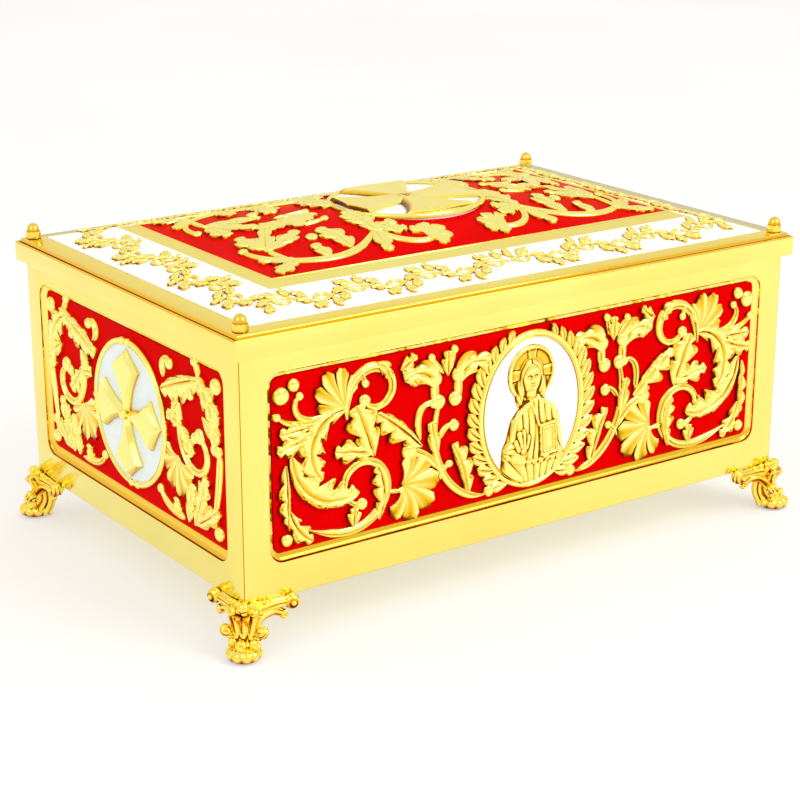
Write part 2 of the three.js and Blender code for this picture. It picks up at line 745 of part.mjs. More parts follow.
// A dome nut with its base at z = 0.
function finial() {
  const { flats, hexHeight, height } = FINIAL;
  const corner = flats / Math.sqrt(3);
  const dome = [
    [hexHeight, 0.98],
    [hexHeight + (height - hexHeight) * 0.45, 0.86],
    [hexHeight + (height - hexHeight) * 0.82, 0.54],
    [height, 0.12],
  ].map(([z, share]) => polygonRing(0, 0, z, (flats / 2) * share, 6));
  const hex = fromRings([0, hexHeight].map((z) => polygonRing(0, 0, z, corner, 6)));
  return carve([hex, fromRings([polygonRing(0, 0, 1, 3, 6), ...dome])]);
}

// ---- feet -------------------------------------------------------------------------------------
// A foot is made at a corner whose walls lie at x < 0 and y < 0, with its leg on the diagonal.
const onDiagonal = (reach) => reach / Math.SQRT2;

// The rings of the leg and its pad: [diagonal reach, radius, height].
const LEG_RINGS = [
  [8, FOOT.pad - 1.5, 0],
  [8, FOOT.pad, 3.5],
  [6.5, FOOT.pad - 2.2, 9],
  [3.5, 6.2, 15],
  [0, 10, BODY.bottom - PLATE.gap],
];

// A tapering wing of square section that runs along the wall: [along the wall, height, radius].
// Its rolled end swells.
const WING = [
  [-2, 20, 4.2],
  [10, 24.5, 3.6],
  [22, 27.5, 2.8],
  [FOOT.wing - 8, 28.5, 3],
  [FOOT.wing - 2, 30, 5.6],
  [FOOT.wing + 3.5, 29, 3.6],
];
function wing(stations) {
  const out = FOOT.wall / 2 + 0.4;
  const ring = ([along, z, radius]) => [
    [-along, out - Math.min(radius, FOOT.wall / 2), z],
    [-along, out, z - radius],
    [-along, out + Math.min(radius * 0.8, FOOT.wall), z],
    [-along, out, z + radius],
  ];
  return fromRings(stations.map(ring));
}

function foot() {
  const top = BODY.bottom - PLATE.gap;
  const leg = fromRings(
    LEG_RINGS.map(([reach, radius, z]) => {
      const middle = onDiagonal(reach);
      return polygonRing(middle, middle, z, radius, 6, Math.PI / 4);
    }),
  );
  const seat = box(-FOOT.seat, 1, -FOOT.seat, 1, top - FOOT.seatThickness, top);
  const side = [wing(WING), knob(-3.4, 8.4, 11.5, 3.8, 3.8, 4)];
  // The other wing is the first one reflected in the diagonal.
  const otherSide = side.map((part) => reflected(part.clone().rotateZ(-Math.PI / 2), "y"));
  const crest = knob(onDiagonal(6), onDiagonal(6), 30.5, 3.8, 3.8, 5);
  const tongue = knob(onDiagonal(9), onDiagonal(9), 19, 3.8, 3.8, 6);
  const whole = [leg, seat, ...side, ...otherSide, crest, tongue];
  // What stands against the walls keeps clear of the casket box.
  const reach = 80;
  const body = box(-reach, PLATE.gap, -reach, PLATE.gap, top, top + reach);
  return carve(whole, [body]);
}

// ---- the whole casket -------------------------------------------------------------------------
function addPiece(name, geometry, material, parent = casket) {
  const faceted = geometry.toNonIndexed();
  faceted.computeVertexNormals();
  const mesh = new THREE.Mesh(faceted, material);
  mesh.name = name;
  parent.add(mesh);
  return mesh;
}

addPiece("casket_box", casketBox(), POLISHED_GOLD);

const DRESS = {
  front: {
    scrollwork: LONG_PANEL,
    size: FRONT_MEDALLION,
    surround: [wreath(FRONT_MEDALLION)],
    plaque: figureMedallion(),
  },
  right: { scrollwork: plainer(END_PANEL), size: END_MEDALLION, plaque: endMedallion() },
  back: { scrollwork: plainer(LONG_PANEL), size: FRONT_MEDALLION, plaque: backMedallion() },
  left: { scrollwork: END_PANEL, size: END_MEDALLION, plaque: endMedallion() },
};
for (const [name, { scrollwork, size, surround, plaque }] of Object.entries(DRESS)) {
  const { group, window } = WALLS[name];
  const panel = windowPanel(window, size, scrollwork, surround);
  addPiece(name + "_panel", panel, RED_ENAMEL, group).position.z = -GROUND_DEPTH;
  addPiece(name + "_medallion", plaque, WHITE_ENAMEL, group).position.z = PLATE.gap - GROUND_DEPTH;
}

addPiece("lid_shell", lidShell(), POLISHED_GOLD);
addPiece("lid_border", lidBorder(), WHITE_ENAMEL);
addPiece("lid_band", lidBand(), POLISHED_GOLD);
addPiece("lid_panel", lidPanel(), RED_ENAMEL);
const lidPlaque = addPiece("lid_medallion", crossMedallion(LID_MEDALLION, LID_CROSS, 0), WHITE_ENAMEL);
lidPlaque.position.z = SKIRT_TOP + MEDALLION_RISE + PLATE.gap;

// The foot is made for the back right corner, and each other corner gets a reflection of it.
const CORNERS = [
  ["front_left", -1, -1],
  ["front_right", 1, -1],
  ["back_right", 1, 1],
  ["back_left", -1, 1],
];
const finialReach = LID.overhang - FINIAL.inset;
for (const [name, signX, signY] of CORNERS) {
  const nut = addPiece("finial_" + name, finial(), CAST_GOLD);
  const nutX = signX * (HALF_X + finialReach);
  const nutY = signY * (HALF_Y + finialReach);
  nut.position.set(nutX, nutY, SKIRT_TOP + BEAD.ledgeRise + PLATE.gap);
  const caster = addPiece("foot_" + name, foot(), CAST_GOLD);
  caster.position.set(signX * HALF_X, signY * HALF_Y, 0);
  caster.scale.set(signX, signY, 1);
}

export default casket;
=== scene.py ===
# %% [markdown]
# # A gilt and enamelled casket
# The casket is a polished gold box on four cast feet. Each wall has a sunk window with a red
# enamel ground, gold scrollwork and an oval medallion. The lid lifts off and carries a white
# border, a gold band, a domed red panel and a large medallion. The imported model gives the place
# and size of everything; this lesson dresses it with fine surfaces.
#
# Lengths are worked out in millimetres, as a maker would, and turned to metres at the last moment.

# %% Load the frame
import math

import bmesh
import bpy
import numpy as np
from mathutils import Matrix, Vector


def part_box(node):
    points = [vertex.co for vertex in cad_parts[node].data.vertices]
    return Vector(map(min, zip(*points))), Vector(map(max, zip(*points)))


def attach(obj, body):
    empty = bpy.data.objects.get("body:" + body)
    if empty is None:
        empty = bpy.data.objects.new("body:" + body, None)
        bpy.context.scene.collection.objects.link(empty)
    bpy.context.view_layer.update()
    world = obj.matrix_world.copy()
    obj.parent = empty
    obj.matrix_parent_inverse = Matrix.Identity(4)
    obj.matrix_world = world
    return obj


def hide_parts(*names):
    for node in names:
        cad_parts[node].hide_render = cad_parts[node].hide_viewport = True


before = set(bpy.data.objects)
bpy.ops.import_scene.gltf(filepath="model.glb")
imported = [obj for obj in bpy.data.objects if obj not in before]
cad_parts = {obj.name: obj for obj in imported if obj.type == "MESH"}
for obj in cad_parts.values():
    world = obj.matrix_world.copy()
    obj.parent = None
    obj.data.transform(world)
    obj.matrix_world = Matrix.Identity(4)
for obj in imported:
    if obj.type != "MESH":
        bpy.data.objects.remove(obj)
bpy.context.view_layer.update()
MM = 0.001


def box_mm(node):
    """The lowest and highest corner of a node, in millimetres."""
    low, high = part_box(node)
    return np.array(low) / MM, np.array(high) / MM


# %% [markdown]
# ## The sizes
# Everything hangs on a few boxes: the casket box, one window, the lid and its plates. Reading them
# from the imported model, and not typing them again, keeps the fine surfaces on the solids.

# %% Read the sizes
box_low, box_high = box_mm("casket_box")
HALF_X, HALF_Y = box_high[0], box_high[1]
BOX_BOTTOM, BOX_TOP = box_low[2], box_high[2]
WALL, FLOOR, SHEET, GAP = 7.0, 4.0, 1.6, 0.3

panel_low, panel_high = box_mm("front_panel")
_, end_high = box_mm("left_panel")
WINDOW_MIDDLE = (panel_low[2] + panel_high[2]) / 2
WINDOW_HALF_HEIGHT = (panel_high[2] - panel_low[2]) / 2 + GAP
WINDOW_HALF_LONG = panel_high[0] + GAP
WINDOW_HALF_END = end_high[1] + GAP
WINDOW_CORNER = 5.0
GROUND_DEPTH = 3.0
UNDER_RING = 3.0

lid_low, _ = box_mm("lid_shell")
_, border_high = box_mm("lid_border")
_, band_high = box_mm("lid_band")
_, dome_high = box_mm("lid_panel")
plaque_low, plaque_high = box_mm("lid_medallion")
SKIRT_BOTTOM, SKIRT_HEIGHT, OVERHANG = lid_low[2], 12.2, 5.0
SKIRT_TOP = SKIRT_BOTTOM + SKIRT_HEIGHT
OUTER_BORDER = (border_high[0], border_high[1], 2.9)
INNER_BORDER = (band_high[0], band_high[1], 10.9)
DOME_EDGE = (dome_high[0], dome_high[1], 13.1)
DOME_RISE = 13.0
print("box half sizes", HALF_X, HALF_Y, "window", WINDOW_HALF_LONG, WINDOW_HALF_HEIGHT)

# %% [markdown]
# ## Camera
# The casket is seen from its left front corner, a little from above, with a long lens. A Track To
# constraint could aim the camera, but a matrix shows what a rotation is: three directions, right,
# up and back, written as columns, and after them the place.

# %% Camera
def add_camera(azimuth, elevation, place, lens):
    a, e = math.radians(azimuth), math.radians(elevation)
    back = Vector((math.sin(a) * math.cos(e), -math.cos(a) * math.cos(e), math.sin(e)))
    right = (-back).cross(Vector((0, 0, 1))).normalized()
    up = back.cross(right)
    camera = bpy.data.objects.new("camera", bpy.data.cameras.new("camera"))
    rotation = Matrix((right, up, back)).transposed().to_4x4()
    camera.matrix_world = Matrix.Translation(place) @ rotation
    camera.data.lens, camera.data.sensor_width = lens, 36
    camera.data.clip_start, camera.data.clip_end = 0.05, 50
    bpy.context.scene.collection.objects.link(camera)
    bpy.context.scene.camera = camera
    return camera


camera = add_camera(-34.96, 18.29, Vector((-0.70693, -1.00434, 0.48223)), 89.97)
print("camera at", tuple(round(c, 3) for c in camera.location))

# %% [markdown]
# ## Shader maths as Python
# A material is a graph of nodes. Writing `1 - mask * 0.5` is easier to read than wiring Math
# nodes, so one small class wraps a socket and turns operators into nodes. Colours go through Mix
# nodes. Every other node comes from one method that takes a type, its settings and its inputs.

# %% The socket class and the graph
class Value:
    """What a node gives: a number, a colour or a shader. Operators work on the numbers."""

    def __init__(self, graph, socket):
        self.graph, self.socket = graph, socket

    def _math(self, operation, a, b):
        return self.graph.node("ShaderNodeMath", {"operation": operation}, {0: a, 1: b})

    def __add__(self, other):
        return self._math("ADD", self, other)

    def __sub__(self, other):
        return self._math("SUBTRACT", self, other)

    def __rsub__(self, other):
        return self._math("SUBTRACT", other, self)

    def __mul__(self, other):
        return self._math("MULTIPLY", self, other)

    __radd__, __rmul__ = __add__, __mul__


class Graph:
    """The nodes of one material, or of the sky, with its main shader ready."""

    def __init__(self, owner, shader="Principled BSDF"):
        owner.use_nodes = True
        self.owner, self.tree = owner, owner.node_tree
        self.shader = self.tree.nodes[shader]

    def node(self, kind, settings=None, inputs=None, output=0):
        made = self.tree.nodes.new(kind)
        for key, value in (settings or {}).items():
            if key == "stops":
                ramp = made.color_ramp
                while len(ramp.elements) < len(value):
                    ramp.elements.new(0.5)
                for element, (place, colour) in zip(ramp.elements, value):
                    element.position, element.color = place, (*colour, 1)
            else:
                setattr(made, key, value)
        for key, value in (inputs or {}).items():
            self.feed(made.inputs[key], value)
        return Value(self, made.outputs[output])

    def feed(self, socket, value):
        if isinstance(value, Value):
            self.tree.links.new(value.socket, socket)
        elif isinstance(value, tuple) and socket.type == "RGBA":
            socket.default_value = (*value[:3], 1)
        else:
            socket.default_value = value

    def smooth(self, value, low, high):
        return self.node(
            "ShaderNodeMapRange", {"interpolation_type": "SMOOTHSTEP"}, {0: value, 1: low, 2: high}
        )

    def mix(self, factor, a, b):
        return self.node("ShaderNodeMix", {"data_type": "RGBA"}, {0: factor, 6: a, 7: b}, output=2)

    def noise(self, scale, detail):
        place = self.node("ShaderNodeTexCoord", output=3)
        return self.node("ShaderNodeTexNoise", inputs={"Vector": place, "Scale": scale, "Detail": detail})

    def relief(self):
        return self.node("ShaderNodeAttribute", {"attribute_name": "relief"}, output=2)

    def bump(self, height, strength, distance):
        inputs = {"Height": height, "Strength": strength, "Distance": distance}
        return self.node("ShaderNodeBump", inputs=inputs)

    def finish(self, **sockets):
        for name, value in sockets.items():
            self.feed(self.shader.inputs[name.replace("_", " ")], value)
        return self.owner


def new_finish(name):
    return Graph(bpy.data.materials.new(name))


print("graph ready")

# %% [markdown]
# ## The finishes
# There are six: mirror-polished gold on the frames, gold relief with shade painted darker and redder
# down in its grooves, deep cast gold on the feet and nuts, and three enamels, red, white and a pale
# blue grey. Real polished sheet is never perfectly flat, so the frames get a faint long ripple and
# fine wiping marks in their roughness. Every gold reads a number, `relief`, that each mesh carries: 0
# at the bottom of a groove and 1 on a crest. Low numbers paint shade, orange and then dark brown, into
# grooves, hollows and edges, and the crests keep the pale gold.
# Painted textures could do the same, but worked-out finishes stay sharp from close by.

# %% Polished gold
def polished_gold():
    g = new_finish("polished_gold")
    ripple = g.noise(22, 1.0)
    wiping = g.noise(420, 4.0)
    cloud = g.noise(9, 2.0)
    colour = g.mix(g.smooth(cloud, 0.3, 0.7), (0.93, 0.78, 0.18), (0.97, 0.85, 0.22))
    # Painted shade: orange where the relief tone is low, dark brown where it is lowest.
    colour = g.mix(g.smooth(g.relief(), 0.45, 0.95), (0.93, 0.56, 0.04), colour)
    colour = g.mix(g.smooth(g.relief(), 0.0, 0.3), (0.25, 0.08, 0.003), colour)
    return g.finish(
        Base_Color=colour,
        Metallic=1.0,
        Roughness=0.10 + g.smooth(wiping, 0.35, 0.8) * 0.06,
        Normal=g.bump(ripple, 0.35, 0.0006),
    )


# %% Gold relief and cast gold
def grooved_gold(name, crest, slope, groove, rough, grain):
    g = new_finish(name)
    ragged = g.relief() + (g.noise(300, 3.0) - 0.5) * 0.12
    upper = g.smooth(ragged, 0.25, 0.68)
    # Painted shade: the slope colour where the relief tone is middling, the groove colour where it is low.
    colour = g.mix(g.smooth(ragged, 0.02, 0.3), groove, slope)
    return g.finish(
        Base_Color=g.mix(upper, colour, crest),
        Metallic=1.0,
        Roughness=rough + (1 - upper) * 0.12,
        Normal=g.bump(g.noise(900, 2.0), grain, 0.0001),
    )


# %% Enamels
def enamel(name, deep, bright, rough, sheen):
    g = new_finish(name)
    orange_peel = g.noise(160, 2.0)
    return g.finish(
        Base_Color=g.mix(g.smooth(g.noise(30, 3.0), 0.3, 0.7), deep, bright),
        Roughness=rough + g.noise(80, 2.0) * 0.05,
        Specular_IOR_Level=sheen,
        Normal=g.bump(orange_peel, 0.12, 0.0002),
    )


FINISH = {
    "polished_gold": polished_gold(),
    "relief_gold": grooved_gold(
        "relief_gold", (1.0, 0.91, 0.26), (0.95, 0.54, 0.015), (0.20, 0.05, 0.001), 0.14, 0.12
    ),
    "cast_gold": grooved_gold(
        "cast_gold", (1.0, 0.80, 0.13), (0.82, 0.29, 0.004), (0.05, 0.007, 0.0), 0.06, 0.15
    ),
    "red_enamel": enamel("red_enamel", (0.67, 0.0, 0.0), (0.74, 0.0, 0.0), 0.30, 0.006),
    "white_enamel": enamel("white_enamel", (0.93, 0.94, 0.94), (0.97, 0.97, 0.97), 0.25, 0.08),
    "pale_enamel": enamel("pale_enamel", (0.76, 0.86, 0.91), (0.83, 0.91, 0.95), 0.25, 0.3),
}
print("finishes:", list(FINISH))

# %% [markdown]
# ## Pieces from numbers
# Every shape here is worked out with numpy and handed over as points and faces, because the
# ornament is made of many like shapes. A part is `(points, faces, relief)`. Three makers do most
# of the work: `shell` closes a grid of top points into a solid, `loft` joins rings of points and
# closes both ends, and `tube` joins the last ring to the first.

# %% Angles, ridges and rings
def cos_sin(degrees):
    return math.cos(math.radians(degrees)), math.sin(math.radians(degrees))


def ridge(distance, width):
    """1 on a line, fading away from it on both sides."""
    return np.exp(-((distance / width) ** 2))


def oval_ring(half_x, half_y, z, steps=96, middle=(0, 0)):
    """A level oval. Its half sizes may be lists that vary round it."""
    angle = np.linspace(0, 2 * np.pi, steps, endpoint=False)
    x, y = middle[0] + half_x * np.cos(angle), middle[1] + half_y * np.sin(angle)
    return np.stack([x, y, np.full(steps, float(z))], -1)


# %% Parts
def grid_faces(rows, columns, wrap=False):
    i, j = np.meshgrid(np.arange(rows - 1), np.arange(columns if wrap else columns - 1), indexing="ij")
    k = (j + 1) % columns
    a, b = i * columns + j, i * columns + k
    return np.stack([a, b, b + columns, a + columns], -1).reshape(-1, 4).tolist()


def shell(x, y, height, relief, foot=-0.4):
    """A closed part from a grid of top points: walls down to the foot, and a bottom."""
    rows, columns = height.shape[0] + 2, height.shape[1] + 2
    points = np.stack(
        [np.pad(x, 1, mode="edge"), np.pad(y, 1, mode="edge"), np.pad(height, 1, constant_values=foot)],
        -1,
    ).reshape(-1, 3)
    faces = grid_faces(rows, columns)
    for i in range(rows - 1):
        a, b = i * columns, (i + 1) * columns
        faces.append([a + columns - 1, a, b, b + columns - 1])
    faces.append(list(range(columns))[::-1])
    faces.append([(rows - 1) * columns + j for j in range(columns)])
    return points, faces, np.pad(relief, 1, constant_values=0.0).reshape(-1)


def loft(rings, relief=None):
    """A closed part from rings of equally many points, capped at both ends."""
    rings = np.array(rings, float)
    rows, columns = rings.shape[:2]
    faces = grid_faces(rows, columns, wrap=True)
    faces.append(list(range(columns))[::-1])
    faces.append([(rows - 1) * columns + j for j in range(columns)])
    tone = np.ones((rows, columns)) if relief is None else relief
    return rings.reshape(-1, 3), faces, np.broadcast_to(tone, (rows, columns)).reshape(-1)


def tube(rings, relief):
    """A closed part from rings of equally many points, the last joined to the first."""
    rings = np.array(rings, float)
    rows, columns = rings.shape[:2]
    faces = np.array(grid_faces(rows + 1, columns, wrap=True)) % (rows * columns)
    return rings.reshape(-1, 3), faces.tolist(), np.repeat(relief, columns)


def placed(parts, change):
    """The parts with their points put through a function of an N x 3 array."""
    return [(change(points), faces, relief) for points, faces, relief in parts]


def lifted(parts, rise):
    return placed(parts, lambda points: points + [0, 0, rise])


def reflected(parts, axis=0):
    signs = np.where(np.arange(3) == axis, -1, 1)
    return placed(parts, lambda points: points * signs)


def both_sides(parts, axis=0):
    return parts + reflected(parts, axis)


print("a box has", len(loft([oval_ring(1, 1, z, 4) for z in (0, 1)])[1]), "faces")

# %% Pieces
def paint_light_by_facing(mesh, direction):
    """Paints light and shade into the relief tone: faces turned along a direction paler, the rest darker."""
    normals = np.empty(len(mesh.vertices) * 3, np.float32)
    mesh.vertex_normals.foreach_get("vector", normals)
    tones = np.empty(len(mesh.vertices), np.float32)
    carried = mesh.attributes["relief"].data
    carried.foreach_get("value", tones)
    tones += normals.reshape(-1, 3) @ np.array(direction, np.float32) - 0.15 * np.linalg.norm(direction)
    carried.foreach_set("value", np.clip(tones, 0, 1))


def piece(name, parts, finish, replaces=(), crease=38, round_edge=0.0, painted_light_direction=None):
    """One object from many parts, in metres, with its finish, riding on the casket."""
    points, faces, relief, start = [], [], [], 0
    for part_points, part_faces, part_relief in parts:
        points.append(np.asarray(part_points, float))
        faces += [[start + i for i in face] for face in part_faces]
        relief.append(np.asarray(part_relief, float))
        start += len(part_points)
    mesh = bpy.data.meshes.new(name)
    mesh.from_pydata((np.concatenate(points) * MM).tolist(), [], faces)
    tones = mesh.attributes.new("relief", "FLOAT", "POINT")
    tones.data.foreach_set("value", np.clip(np.concatenate(relief), 0, 1).astype(np.float32))
    sculpt = bmesh.new()
    sculpt.from_mesh(mesh)
    bmesh.ops.remove_doubles(sculpt, verts=sculpt.verts, dist=2e-6)
    bmesh.ops.dissolve_degenerate(sculpt, edges=sculpt.edges, dist=1e-6)
    bmesh.ops.recalc_face_normals(sculpt, faces=sculpt.faces)
    sculpt.to_mesh(mesh)
    sculpt.free()
    # A direction, when given, paints light and shade by which way each face turns.
    if painted_light_direction:
        paint_light_by_facing(mesh, painted_light_direction)
    mesh.shade_smooth()
    mesh.set_sharp_from_angle(angle=math.radians(crease))
    made = bpy.data.objects.new(name, mesh)
    bpy.context.scene.collection.objects.link(made)
    if round_edge:
        bevel = made.modifiers.new("rounded edges", "BEVEL")
        bevel.width, bevel.segments, bevel.limit_method = round_edge * MM, 3, "ANGLE"
        bevel.harden_normals = True
    made.data.materials.append(FINISH[finish])
    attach(made, "root")
    if replaces:
        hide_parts(*replaces)
    print(f"{name}: {len(mesh.polygons)} faces")


# %% [markdown]
# ## Ornament
# All the scrollwork grows from one idea: a middle line that leaves a point at a heading and turns
# as it goes. A stem is a rounded band along such a line. A leaf swells and narrows along it, its
# edge is cut into lobes that sweep forwards, and a groove runs along its rib. A fan leaf spreads
# from its stalk, and a berry is a small dome. Bevelled curves would give the stems, but not the
# folds of a chased leaf, so each is a grid of points laid along its line, with a height at each.

# %% The middle line
RELIEF = 3.0


def middle_line(x, y, heading, length, turn, tighten, count):
    fine = np.linspace(0, 1, 400)
    middle = (fine[1:] + fine[:-1]) / 2
    angle = np.radians(heading + turn * middle**tighten)
    step = length / len(middle)
    along_x = x + np.concatenate([[0], np.cumsum(np.cos(angle))]) * step
    along_y = y + np.concatenate([[0], np.cumsum(np.sin(angle))]) * step
    t = np.linspace(0, 1, count)
    direction = np.radians(heading + turn * t**tighten)
    columns = (np.interp(t, fine, along_x), np.interp(t, fine, along_y), direction, t)
    return [column[:, None] for column in columns]


def beside(px, py, angle, offset, forward=0):
    """The places at some distance to the left of the middle line, and ahead along it."""
    c, s = np.cos(angle), np.sin(angle)
    return px - s * offset + c * forward, py + c * offset + s * forward


# %% Leaves
def leaf(x, y, heading, length, turn, width, lobes, side=0, height=RELIEF, fullness=0.77):
    """A leaf. Folds run from its foot out to each lobe; `fullness` nearer 0.9 gives a sharp tip."""
    fine = length > 13
    rows = 9 * lobes + (16 if fine else 7)
    px, py, angle, t = middle_line(x, y, heading, length, turn, 1, rows)
    v = np.linspace(-1, 1, 15 if fine else 9)[None, :]
    away = np.abs(v)
    outer = np.clip((away - 0.25) / 0.4, 0, 1)
    end = np.sqrt(np.clip(1 - (np.clip(t - 0.93, 0, 1) / 0.07) ** 2, 0.02, 1))
    swell = width / 2 * np.sin(np.pi * (0.1 + fullness * t)) * end
    phase = (lobes + 0.5) * t
    lobe = np.abs(np.sin(np.pi * phase)) ** 0.7
    cut = (0.48 + 0.66 * lobe) * (1.3 if side else 1.0)
    edge = np.where((side == 0) | (np.sign(v) == -side), cut, 0.5)
    edge = np.where(v == 0, 1.0, edge)
    hook = np.minimum(width / 2, 0.75 * length / (lobes + 0.5)) * (1 - t**5)
    forward = hook * away**1.6 * (0.15 + 0.38 * lobe) * np.sin(np.pi * (0.1 + 0.8 * t))
    gx, gy = beside(px, py, angle, -v * swell * edge, forward)
    flow = np.minimum(phase / (away**0.7 + 0.02), lobes + 0.5)
    crease = ridge(flow - np.maximum(np.round(flow), 1), 0.12) * outer
    swing = np.sin(2 * np.pi * flow) * outer
    rib = ridge(v, 0.09) * (1 - 0.8 * t)
    bulge = np.sin(np.pi * away**0.75)
    rise = 0.44 + 0.28 * bulge + 0.18 * (1 - away) + 0.12 * lobe * outer - 0.26 * crease - 0.22 * rib
    share = np.maximum(rise * (0.84 + 0.28 * np.sin(np.pi * t)) + 0.22 * ridge(t - 0.88, 0.1), 0.14)
    # Painted light and shade: pale on the swell of each half, one side of each fold lit and the other
    # shaded, dark in the creases, along the rib and at the edge.
    tone = 0.50 + 0.32 * bulge + 0.18 * swing - 0.5 * crease - 0.4 * rib - 0.15 * away**14
    return shell(gx, gy, 1.15 * height * share, np.broadcast_to(tone, share.shape))


# %% Stems
def stem(x, y, heading, length, turn, tighten, root, tip, height=RELIEF * 0.9, knob=True):
    rows = int(max(14, length / 1.8, abs(turn) / 9))
    px, py, angle, t = middle_line(x, y, heading, length, turn, tighten, rows)
    v = np.linspace(-1, 1, 11)[None, :]
    half = (root + (tip - root) * t) / 2 * (0.78 + 0.34 * np.sin(np.pi * t))
    half = half * (0.35 + 0.65 * np.clip(t / 0.12, 0, 1))
    gx, gy = beside(px, py, angle, half * v)
    groove = ridge(v - 0.28, 0.2)
    share = np.sqrt(1 - 0.95 * v**2) - 0.36 * groove + 0 * t
    # Painted shade on the low sides and in the groove; the crest keeps the pale gold.
    part = shell(gx, gy, height * share, 0.25 + 0.75 * share - 0.5 * groove)
    if not knob:
        return [part]
    return [part, berry(float(px[-1, 0]), float(py[-1, 0]), tip * 0.8, height * 1.15)]


# %% Fan leaves and berries
def fan(x, y, heading, radius, spread, lobes):
    t = np.linspace(0.05, 1, 13)[:, None]
    v = np.linspace(-1, 1, 12 * lobes + 1)[None, :]
    phase = lobes * (v + 1) / 2
    lobe = np.abs(np.sin(np.pi * phase)) ** 0.5
    teeth = 1 + 0.02 * np.cos(np.pi * lobes * 3 * (v + 1))
    reach = radius * (0.80 + 0.20 * lobe) * teeth * (1 - 0.42 * np.abs(v) ** 1.6) * t
    angle = np.radians(heading + spread * v * (0.62 + 0.38 * t) + 6 * t**2)
    inner = (phase > 0.5) & (phase < lobes - 0.5)
    crease = ridge(phase - np.round(phase), 0.07) * inner * np.clip(t * 1.6 - 0.5, 0, 1)
    swing = np.sin(2 * np.pi * phase + 0.6) * np.clip(t * 1.5 - 0.2, 0, 1)
    share = 0.44 + 0.36 * np.sin(np.pi * (0.12 + 0.74 * t)) - 0.26 * crease + 0.13 * swing
    share = np.maximum(share, 0.15)
    # Painted light and shade: one side of each fold paler and the other shaded, dark in the creases, at the
    # rim and near the stalk.
    tone = 0.66 + 0.34 * swing - 0.7 * crease - 0.3 * t**14 - 0.25 * (1 - t) ** 3
    return shell(x + reach * np.cos(angle), y + reach * np.sin(angle), RELIEF * 1.1 * share, tone)


def berry(x, y, radius, height=RELIEF * 1.1):
    rings = [oval_ring(radius, radius, -0.4, 18, (x, y))]
    for share, rise in ((1, 0.2), (0.93, 0.55), (0.74, 0.82), (0.45, 0.97), (0.12, 1.0)):
        rings.append(oval_ring(radius * share, radius * share, rise * height, 18, (x, y)))
    # Painted shade: dark at the foot of the dome, pale gold on top.
    return loft(rings, np.array([0, 0.25, 0.6, 0.9, 1, 1])[:, None])


def ornament(stems=(), leaves=(), fans=(), berries=()):
    parts = [part for numbers in stems for part in stem(*numbers)]
    parts += [leaf(*numbers) for numbers in leaves]
    parts += [fan(*numbers) for numbers in fans]
    return parts + [berry(*numbers) for numbers in berries]


print("a leaf has", len(leaf(0, 0, 0, 30, 0, 12, 3)[1]), "faces")

# %% [markdown]
# ## The layouts
# One half of each panel is written down and mirrored. Stems are x, y, heading, length, turn,
# tighten, width at the root and at the tip. Leaves are x, y, heading, length, turn, width, lobes
# and the lobed side. Fans are x, y, heading, radius, spread and lobes. Berries are x, y, radius.

# %% The long walls
LONG_PANEL = dict(
    stems=[
        (157, -41, 203, 132, -385, 1.8, 6.5, 5),
        (131, 19, 89, 84, 335, 1.55, 7, 5),
        (34, -46, -12, 84, 122, 0.65, 6.5, 4),
        (148, 22, -6, 30, 50, 1.6, 5, 3.5),
        (149, 23, 0, 27, 150, 1.8, 5, 3.5),
        (81, -3, 80, 28, 130, 2.4, 4.5, 4.5),
        (68, -24, 62, 26, -50, 1, 5, 7),
        (67, -5, 118, 13, 60, 1.5, 4, 3.5),
        (67, -30, 110, 11, 50, 1.5, 4, 3.5),
        (103, -30, 186, 9, 0, 1, 3.5, 3),
        (121, 45, 250, 8, 0, 1, 3.5, 3.5),
        (65, 34, 52, 13, 0, 1, 4, 3.5),
        (60, 35, 105, 12, 0, 1, 4, 3.5),
        (70, 17, 84, 14, 12, 1, 6, 6),
        (54, 17, 96, 14, -12, 1, 6, 6),
    ],
    leaves=[
        (131, 25, 4, 54, -140, 17, 4, 0),
        (113, -6, 72, 34, -6, 20, 2, 0),
        (113, -4, 14, 27, -6, 13, 2, 0),
        (167, 4, -90, 62, -112, 19, 4, -1),
        (171, 0, -93, 35, 5, 8, 3, 1),
        (169, -27, -100, 26, -50, 11, 2, 0),
        (110, -45, 118, 34, -60, 11, 3, -1),
        (127, -46, 92, 12, 0, 9, 1, 0),
        (80, -7, 46, 40, -12, 15, 3, -1),
        (69, -16, 76, 23, 5, 9, 1, 0),
        (47, -44, 84, 36, -26, 12, 3, 1),
        (95, 41, 155, 13, -20, 8, 1, 0),
        (94, 42, 222, 16, 10, 8, 1, 0),
        (156, 19, -2, 19, 0, 10, 1, 0),
        (154, 16, -28, 24, 20, 12, 2, 0),
        (70, 24, 88, 30, -128, 15, 1, 0),
        (54, 24, 92, 30, 128, 15, 1, 0),
        (62, 32, 90, 15, 0, 9, 1, 0),
        (111, 48, 200, 14, 60, 8, 1, 0),
    ],
    fans=[(131, 25, 52, 27, 64, 5), (95, -28, 192, 28, 104, 6)],
    berries=[
        (173, 40, 5.4),
        (165, 45, 4),
        (171, -44, 4),
        (88, -9, 5),
        (57, 1, 4),
        (31, -45, 4),
        (68, 17, 5),
        (56, 17, 5),
    ],
)

